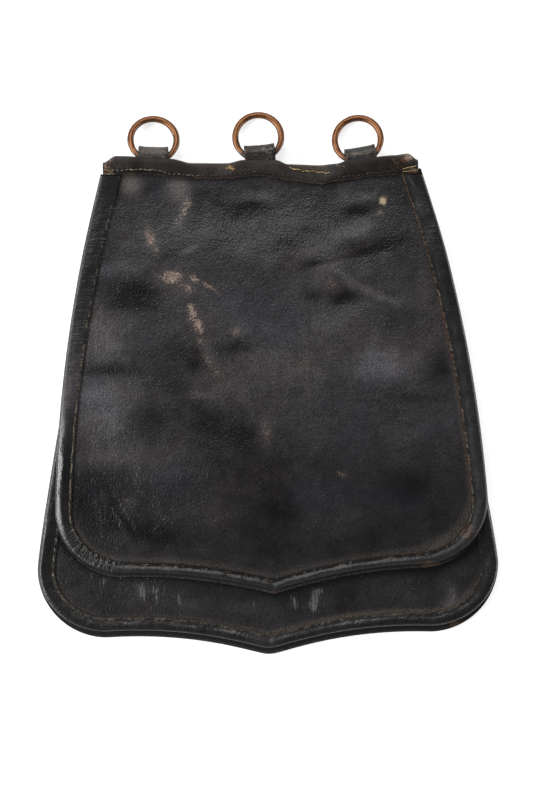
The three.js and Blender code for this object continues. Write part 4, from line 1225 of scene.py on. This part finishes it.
def band_edges(x):
    table = np.array(BAND_EDGES)
    found = np.clip(np.searchsorted(table[:, 0], x), 1, len(table) - 1)
    left, right = table[found - 1], table[found]
    t = smooth(x, left[..., 0], right[..., 0])
    return lerp(left[..., 1], right[..., 1], t), lerp(left[..., 2], right[..., 2], t)


def loop_distance(x):
    return np.min([np.abs(x - loop.x) for loop in LOOPS], axis=0)


def over_loop(x):
    """How much the band lies over a loop."""
    return 1 - smooth(loop_distance(x), PLATEAU_INNER, PLATEAU_OUTER)


def band_front(x, lift):
    """Middle height of the band's front leaf, lifted over the loops."""
    return PLY_STACK + 2 * GAP + over_loop(x) * lift * (STRAP_STACK + GAP) + BAND / 2


def leaf_lift(share):
    """How much of the lift over a loop the front leaf has, from its foot to its top."""
    return lerp(FOOT_LIFT, 1.0, smooth(share, 0.0, LIFTED_AT))


def band_lumps(x, y):
    return BAND_LUMP_HEIGHT * layered(x, y * BAND_LUMP_SQUASH, BAND_LUMP_LENGTH, SEEDS.band_lumps)


def top_band():
    """The folded strip along the top: rear leaf, fold and front leaf, with slots behind the loops."""
    x = np.linspace(-TOP_HALF, TOP_HALF, BAND_STEPS + 1)[:, None]
    edge_top, edge_foot = band_edges(x)
    fold = lerp(BAND_FOLD, BAND_FOLD_AT_LOOP, over_loop(x))
    leaf_top = edge_top - fold - BAND / 2
    rear = -GAP - BAND / 2
    rear_share = np.linspace(0.0, 1.0, BAND_REAR_STEPS + 1)[:-1]
    turn = np.radians(np.linspace(-90.0, 90.0, BAND_FOLD_STEPS + 1))
    front_share = np.linspace(1.0, 0.0, BAND_FRONT_STEPS + 1)[1:]
    front_z = band_front(x, np.degrees(turn) / 180.0 + 0.5)
    y_parts = (lerp(edge_foot, leaf_top, rear_share), leaf_top + fold * np.cos(turn),
               lerp(edge_foot, leaf_top, front_share))

    def by_part(*parts):
        """A value for each point, from its values on the rear leaf, the fold and the front leaf."""
        return np.concatenate([np.broadcast_to(part, y.shape) for part, y in zip(parts, y_parts)], axis=1)

    y = by_part(*y_parts)
    bent = (front_z + rear) / 2 + (front_z - rear) / 2 * np.sin(turn)
    z = by_part(rear, bent, band_front(x, leaf_lift(front_share)))
    wide = np.broadcast_to(x, y.shape)
    facing = by_part(0.0, clamp(np.sin(turn)), 1.0)
    pressed = FOOT_PRESS * smooth(by_part(0.0, 0.0, 1 - front_share), PRESSED_FROM, 1.0)
    z = z + curl(wide, y) + facing * (band_lumps(wide, y) - pressed)
    y = y + facing * CUT_HEIGHT * noise(wide, z, CUT_LENGTH, SEEDS.band_cut)
    rows, columns = y.shape
    faces = grid_faces(rows, columns)
    row, column = faces[:, 0] // columns, faces[:, 0] % columns
    in_slot = (loop_distance(x).ravel()[row] < SLOT_HALF) & (column < SLOT_FOLD) & (column > SLOT_FOOT)
    px, py = picture_place(wide, y, z)
    # A painted highlight along the top of the band's rounded fold
    painted_top_highlight = np.exp(-(((y - edge_top + PAINTED_HIGHLIGHT_INSET) / PAINTED_HIGHLIGHT_HALF) ** 2)) * facing
    look = BAND_LOOK
    mottle = look.mottle * layered(wide, y, look.mottle_length, SEEDS.band_haze)
    foot = by_part(0.0, 0.0, smooth(front_share, *look.foot))
    marks = leather_marks(y.shape, 1, {
        "haze": clamp(np.interp(px, *zip(*BAND_HAZE)) + look.painted_top_highlight * painted_top_highlight + mottle),
        "polish": look.gloss * smooth(px, *look.gloss_across),
        "wear": np.maximum(marked(BAND_BROWN, px, py), look.foot_wear * foot),
        "scuff": marked(BAND_RUBBED, px, py),
    })
    points = as_points(wide, y, z).reshape(-1, 3)
    mesh = make_mesh("top_band_skin", points, faces[~in_slot][:, ::-1], marks)
    piece = place_piece("top_band_skin", mesh, BAND_LEATHER, "band_leather", "bag", "top_band")
    thicken(piece, BAND)


def thicken(piece, thickness):
    """Gives a sheet its thickness on both sides, with rounded cut edges, in the mesh itself."""
    solid = piece.modifiers.new("thickness", "SOLIDIFY")
    solid.thickness = thickness * MM
    solid.offset = 0.0
    solid.use_even_offset = True
    solid.thickness_clamp = 1.0
    bevel = piece.modifiers.new("edge", "BEVEL")
    bevel.width = CUT_ROUND * MM
    bevel.segments = CUT_SEGMENTS
    bevel.limit_method = "ANGLE"
    bevel.angle_limit = math.radians(CUT_ANGLE)
    view = bpy.context.evaluated_depsgraph_get()
    made = bpy.data.meshes.new_from_object(piece.evaluated_get(view))
    old = piece.data
    piece.modifiers.clear()
    piece.data = made
    made.name = old.name
    bpy.data.meshes.remove(old)


def band_face(x, y):
    """Height of the band's front face."""
    top, foot = band_edges(x)
    fold = lerp(BAND_FOLD, BAND_FOLD_AT_LOOP, over_loop(x))
    share = (y - foot) / (top - fold - BAND / 2 - foot)
    return band_front(x, leaf_lift(share)) + BAND / 2 + curl(x, y) + band_lumps(x, y)


def band_seam():
    """One row of stitches along the foot of the band, paler at the left."""
    left, right = BAND_SEAM_ENDS
    x = np.arange(-TOP_HALF + left, TOP_HALF - right, BAND_STITCH.pitch)
    random = np.random.default_rng(SEEDS.band_stitches)
    y = band_edges(x)[1] + BAND_STITCH.inset + random.normal(0.0, BAND_STITCH.jitter, x.size)
    middles, runs = steps_of(as_points(x, y, band_face(x, y) - BAND_STITCH.sunk))
    count = len(middles)
    length = random.uniform(*BAND_STITCH.length, count)
    pale = BAND_STITCH.paler_left * (1 - smooth(middles[:, 0], *BAND_STITCH.paler_to)) + BAND_STITCH.tone
    tone = clamp(pale * random.uniform(*BAND_STITCH.tone_range, count))
    stitch_row("band_stitches", middles, runs, length, BAND_STITCH.radius, tone, SEAM_THREAD, "band_leather")


def loose_threads():
    """Broken and frayed threads on the band."""
    random = np.random.default_rng(SEEDS.loose_threads)
    columns = [[], [], [], [], []]
    for tuft in TUFTS:
        share = np.linspace(0.0, 1.0, tuft.count) + random.normal(0.0, LOOSE.uneven / tuft.count, tuft.count)
        px = lerp(tuft.x, tuft.to_x, share) + random.normal(0.0, tuft.spread, tuft.count)
        py = lerp(tuft.y, tuft.to_y, share) + random.normal(0.0, tuft.spread * LOOSE.flat, tuft.count)
        x, y = bag_place(px, py, BAND_FACE_Z)
        middle = as_points(x, y, band_face(x, y) + random.uniform(0.0, LOOSE.lift, tuft.count))
        slope = math.atan2(tuft.y - tuft.to_y, tuft.to_x - tuft.x)
        turn = slope + random.normal(0.0, tuft.turn, tuft.count)
        run = as_points(np.cos(turn), np.sin(turn), random.normal(0.0, LOOSE.tilt, tuft.count))
        length = random.uniform(*LOOSE.length, tuft.count) * tuft.length
        radius = random.uniform(*LOOSE.radius, tuft.count) * tuft.radius
        tone = clamp(tuft.tone + random.normal(0.0, LOOSE.tone_spread, tuft.count))
        for column, values in zip(columns, (middle, run, length, radius, tone)):
            column.append(values)
    stitch_row("loose_threads", *(np.concatenate(column) for column in columns), GOLD_THREAD, "band_leather")


# Ring loops and rings: steps along and across a strap, its shape and the light and shade painted on it, and
# the wire's shape, tarnish and the shade painted along its edges
STRAP_STEPS, STRAP_ACROSS, STRAP_STEP_LENGTH = 96, 24, 0.5
BOW_STEPS, WRAP_STEPS = 40, 24
WAIST, WAIST_DEPTH, WAIST_TURN, STRAP_ROUGH, ROUGH_LENGTH = 0.985, 0.02, 2.0, 0.12, 4.0
DISH, DISH_POWER, DISHED_UP = 0.8, 4, (0.0, 5.0)
OUTER_SKIVE, OUTER_SKIVED, INNER_SKIVE, INNER_SKIVED = 0.3, (0.9, 1.0), 0.5, (0.75, 1.0)
BOW_HIGHLIGHT_AT, BOW_HIGHLIGHT_HALF = LOOP_REACH + 3.0, 1.8
LOOP_LOOK = SimpleNamespace(
    middle=(0.62, 0.95), haze=0.2, painted_middle_light=0.4, painted_bow_light=1.3, crackle=0.35, crackle_length=3.0,
    wear=0.2, wear_edge=0.4, edge=(0.75, 1.0), wear_spots=0.2, spot_length=3.0,
    scuff=0.5, scuff_length=2.2, unscuffed=0.05,
)
RING_STEPS, WIRE_STEPS, WORN_WIRE, FREE_WIRE, FREE_FROM = 120, 20, 0.96, 1.1, (0.2, 0.55)
WIRE_WEAR, WEAR_REACH, WEAR_LENGTH = 0.05, 10.0, 5.0
UNEVEN_TARNISH, TARNISH_REACH, TARNISH_LENGTH = 0.12, 12.0, 4.0
TILT_HALVINGS, PITCH_REACH = 40, 9.6
TARNISH_IN_LOOP, IN_LOOP = {"left": 0.55, "centre": 1.0, "right": 0.7}, (0.35, 0.85)
WIRE_EDGE_SHADE, SIDE_TARNISH, TARNISHED = 0.5, 0.16, (0.5, 1.0)


def loop_place(loop, sideways, up, out):
    roll = math.radians(loop.roll)
    x = loop.x + sideways * math.cos(roll) - up * math.sin(roll)
    y = loop.y + sideways * math.sin(roll) + up * math.cos(roll)
    return x, y, curl(x, TOP_Y) + AXIS_Z + out


def loop_path():
    """Middle line of a strap: front ply, bow round the wire, rear ply. Gives up and out."""
    rear_ply = LOOP_RADIUS - STRAP - GAP
    wrap = math.radians(LOOP_WRAP)
    leave = (LOOP_RADIUS * math.cos(wrap), LOOP_RADIUS * math.sin(wrap))
    bend_up = leave[0] + (rear_ply - leave[1]) * math.sin(wrap) / -math.cos(wrap)
    points = [(-LOOP_TAIL, LOOP_RADIUS), (LOOP_REACH, LOOP_RADIUS)]
    for angle in np.linspace(math.pi / 2, -math.pi / 2, BOW_STEPS)[1:]:
        points.append((LOOP_REACH + LOOP_RADIUS * math.cos(angle), LOOP_RADIUS * math.sin(angle)))
    for angle in np.linspace(-math.pi / 2, wrap, WRAP_STEPS):
        points.append((LOOP_RADIUS * math.cos(angle), LOOP_RADIUS * math.sin(angle)))
    points += [(bend_up, rear_ply), (-LOOP_TAIL, rear_ply)]
    points = np.array(points)
    along = np.concatenate([[0.0], np.cumsum(np.hypot(*np.diff(points, axis=0).T))])
    even = np.linspace(0.0, along[-1], STRAP_STEPS)
    return np.interp(even, along, points[:, 0])[:, None], np.interp(even, along, points[:, 1])[:, None]


def ring_loop(loop, seed):
    """A strap round a ring's wire, dished at its sides and thinner at its edges, with light and shade painted
    on it.
    """
    up, out = loop_path()
    run_up, run_out = np.gradient(up, axis=0), np.gradient(out, axis=0)
    length = np.hypot(run_up, run_out)
    normal_up, normal_out = -run_out / length, run_up / length
    across = np.linspace(1.0, -1.0, STRAP_ACROSS + 1)[None, :]
    along = np.arange(STRAP_STEPS)[:, None] * STRAP_STEP_LENGTH
    sideways = across * loop.width / 2 * (WAIST - WAIST_DEPTH * np.cos(across * WAIST_TURN))
    aside = np.abs(across)
    dish = DISH * across**DISH_POWER * smooth(up, *DISHED_UP)
    rough = STRAP_ROUGH * layered(sideways, along, ROUGH_LENGTH, seed)
    outward = (1 - OUTER_SKIVE * smooth(aside, *OUTER_SKIVED)) * (STRAP / 2 + (rough + dish))
    inward = (1 - INNER_SKIVE * smooth(aside, *INNER_SKIVED)) * (-STRAP / 2)
    outer, inner = (
        as_points(*loop_place(loop, sideways, up + normal_up * lift, out + normal_out * lift))
        for lift in (outward, inward))
    # Painted highlight where the strap rolls over the wire, and painted shade towards its edges
    bow = np.exp(-(((up - BOW_HIGHLIGHT_AT) / BOW_HIGHLIGHT_HALF) ** 2)) * (out > 0)
    look = LOOP_LOOK
    crackle = layered(outer[..., 0], outer[..., 1], look.crackle_length, seed + AFTER.crackle)
    middle = 1 - smooth(aside, *look.middle)
    hazed = look.haze + look.painted_middle_light * middle + look.painted_bow_light * bow * middle + look.crackle * crackle
    spots = look.wear_spots * noise(sideways, along, look.spot_length, seed + AFTER.spots)
    rubbed = look.scuff * noise(outer[..., 0], outer[..., 1], look.scuff_length, seed + AFTER.scuffs)
    marks = leather_marks(rough.shape, 2, {
        "haze": clamp(loop.pale * hazed),
        "wear": clamp(look.wear + look.wear_edge * smooth(aside, *look.edge) + spots),
        "scuff": clamp(rubbed - look.unscuffed),
    })
    name = f"ring_loop_{loop.name}_strap"
    mesh = make_mesh(name, *closed_sheet(outer, inner), marks)
    place_piece(name, mesh, LOOP_LEATHER, "loop_leather", "bag", f"ring_loop_{loop.name}")


def rest_tilt(height, pitch):
    """How far a ring tilts down from its axis until it lies on the floor."""
    high, low = 0.0, math.pi / 2
    for _ in range(TILT_HALVINGS):
        tilt = (high + low) / 2
        centre = height - (RING_RADIUS - AXIS_INSET) * math.sin(tilt) * math.cos(pitch)
        drop = RING_RADIUS * math.sqrt(1 - (math.cos(tilt) * math.cos(pitch)) ** 2) + WIRE_RADIUS
        if centre - drop > FLOOR_GAP:
            high = tilt
        else:
            low = tilt
    return high


def round_noise(turn, reach, wave, seed):
    """Noise that meets itself round a ring."""
    return noise(reach * np.cos(turn), reach * np.sin(turn), wave, seed)


def ring(loop, seed):
    """A wire ring on its hinge axis, worn thin in its loop and a little uneven, with shade painted along the
    edges of its wire.
    """
    place = [float(value) for value in loop_place(loop, 0.0, 0.0, 0.0)]
    aside = [float(value) for value in loop_place(loop, PITCH_REACH, 0.0, 0.0)]
    pitch = math.atan2(aside[2] - place[2], PITCH_REACH)
    tilt = rest_tilt(place[2], pitch)
    turn = np.linspace(0.0, 2 * math.pi, RING_STEPS + 1)[:-1, None]
    around = np.linspace(0.0, 2 * math.pi, WIRE_STEPS + 1)[None, :-1]
    wear = WIRE_WEAR * round_noise(turn, WEAR_REACH, WEAR_LENGTH, seed)
    free = 1 - smooth(-np.sin(turn), *FREE_FROM)
    wire = WIRE_RADIUS * (lerp(WORN_WIRE, FREE_WIRE, free) - np.abs(wear))
    radial = RING_RADIUS + wire * np.cos(around)
    out_from_axis = radial * np.sin(turn) + RING_RADIUS - AXIS_INSET
    local = as_points(radial * np.cos(turn), out_from_axis, wire * np.sin(around))
    matrix = Matrix.Translation(Vector(place)) @ Matrix.Rotation(math.radians(loop.roll), 4, "Z")
    matrix = matrix @ Matrix.Rotation(-pitch, 4, "Y") @ Matrix.Rotation(-tilt, 4, "X")
    points = local.reshape(-1, 3) @ np.array(matrix.to_3x3()).T + np.array(matrix.translation)
    index = np.arange(RING_STEPS * WIRE_STEPS).reshape(RING_STEPS, WIRE_STEPS)
    next_row, next_column = np.roll(index, -1, axis=0), np.roll(index, -1, axis=1)
    corners = [index, next_row, np.roll(next_row, -1, axis=1), next_column]
    faces = np.stack(corners, axis=-1).reshape(-1, 4)
    in_loop = smooth(-np.sin(turn), *IN_LOOP) * TARNISH_IN_LOOP[loop.name]
    # Painted shade along the wire's edges, as its round section seen from above
    inside = WIRE_EDGE_SHADE * smooth(np.abs(np.cos(around)), *TARNISHED)
    inside = inside + SIDE_TARNISH * smooth(np.abs(np.cos(turn)), *TARNISHED)
    uneven = UNEVEN_TARNISH * round_noise(turn, TARNISH_REACH, TARNISH_LENGTH, seed + AFTER.tarnish)
    tarnish = clamp(np.maximum(in_loop, inside) + uneven)
    name = f"ring_{loop.name}_wire"
    mesh = make_mesh(name, points, faces, {"tarnish": tarnish}, ROUND)
    place_piece(name, mesh, RING_COPPER, "ring_copper", f"{loop.name}_ring", f"ring_{loop.name}")


def flap_binding_base(x, y):
    return flap_base(x, y) + LINING + GAP


flap_panel()
plain_panel("flap_lining", FLAP, 0, 0.0, PLY_TOP, LINING_STEPS, LINING, flap_base, BACK_LEATHER, rim_marks)
plain_panel("pouch_front", POUCH, 1, BINDING_FOLD, MOUTH, POUCH_STEPS, FRONT, pouch_front_base, POUCH_LEATHER,
            pouch_front_marks)
plain_panel("pouch_back", POUCH, 0, 0.0, PLY_TOP, BACK_STEPS, BACK, curl, BACK_LEATHER, rim_marks)
binding("flap_binding", FLAP, flap_binding_base, SEEDS.flap_binding, flap_binding_marks)
binding("pouch_binding", POUCH, pouch_base, SEEDS.pouch_binding, pouch_binding_marks)
seam("flap_stitches", FLAP, flap_binding_base, SEEDS.flap_binding, flap_seam_tone)
seam("pouch_stitches", POUCH, pouch_base, SEEDS.pouch_binding, pouch_seam_tone)
top_band()
band_seam()
loose_threads()
for number, loop in enumerate(LOOPS):
    ring_loop(loop, SEEDS.loops + SEEDS.next_loop * number)
    ring(loop, SEEDS.rings + SEEDS.next_loop * number)


# Floor, light and camera, in metres and watts; the lamps all point at the middle of the bag
FLOOR_HALF, FLOOR_Z, FLOOR_GLOW, WORLD_LEVEL = 3.0, -0.0002, 0.73, 0.15
Lamp = namedtuple("Lamp", "name place size power")
LAMPS = table_of(
    Lamp,
    ("left", (-1.5, -0.1, 0.9), (1.6, 0.5), 34.5),
    ("key", (-0.2, 1.15, 1.2), (1.1, 0.7), 13.0),
    ("right", (1.5, 0.0, 0.34), (1.3, 0.3), 10.0),
    ("foot", (0.2, -1.3, 0.8), (1.2, 0.4), 1.5),
)


def floor():
    mesh = bpy.data.meshes.new("floor")
    signs = ((-1, -1), (1, -1), (1, 1), (-1, 1))
    corners = [(across * FLOOR_HALF, up * FLOOR_HALF, FLOOR_Z) for across, up in signs]
    mesh.from_pydata(corners, [], [(0, 1, 2, 3)])
    graph = Graph("floor_paper")
    tone = graph.mix(graph.noise(WAVE.paper, detail=2.0), rgb(0.53, 0.53, 0.53), rgb(0.57, 0.57, 0.57))
    mesh.materials.append(graph.finish({
        "Base Color": tone, "Roughness": 0.9, "Specular IOR Level": 0.1,
        "Emission Color": rgb(1.0, 1.0, 1.0), "Emission Strength": FLOOR_GLOW,
    }))
    piece = bpy.data.objects.new("floor", mesh)
    bpy.context.scene.collection.objects.link(piece)


def area_light(lamp):
    light = bpy.data.lights.new(lamp.name, "AREA")
    light.shape = "RECTANGLE"
    light.size, light.size_y = lamp.size
    light.energy = lamp.power
    made = bpy.data.objects.new(lamp.name, light)
    made.location = lamp.place
    made.rotation_euler = (-Vector(lamp.place)).to_track_quat("-Z", "Y").to_euler()
    bpy.context.scene.collection.objects.link(made)


def world_light():
    world = bpy.data.worlds.new("studio")
    world.use_nodes = True
    level = rgb(WORLD_LEVEL, WORLD_LEVEL, WORLD_LEVEL)
    world.node_tree.nodes["Background"].inputs["Color"].default_value = level
    bpy.context.scene.world = world


def camera():
    data = bpy.data.cameras.new("camera")
    data.lens = LENS
    data.sensor_width = SENSOR
    eye = bpy.data.objects.new("camera", data)
    eye.location = (CAMERA_X * MM, CAMERA_Y * MM, CAMERA_HEIGHT * MM)
    eye.rotation_euler = (0.0, 0.0, -math.radians(CAMERA_ROLL))
    bpy.context.scene.collection.objects.link(eye)
    bpy.context.scene.camera = eye


floor()
world_light()
for lamp in LAMPS:
    area_light(lamp)
camera()
bpy.context.scene.view_settings.view_transform = "Standard"
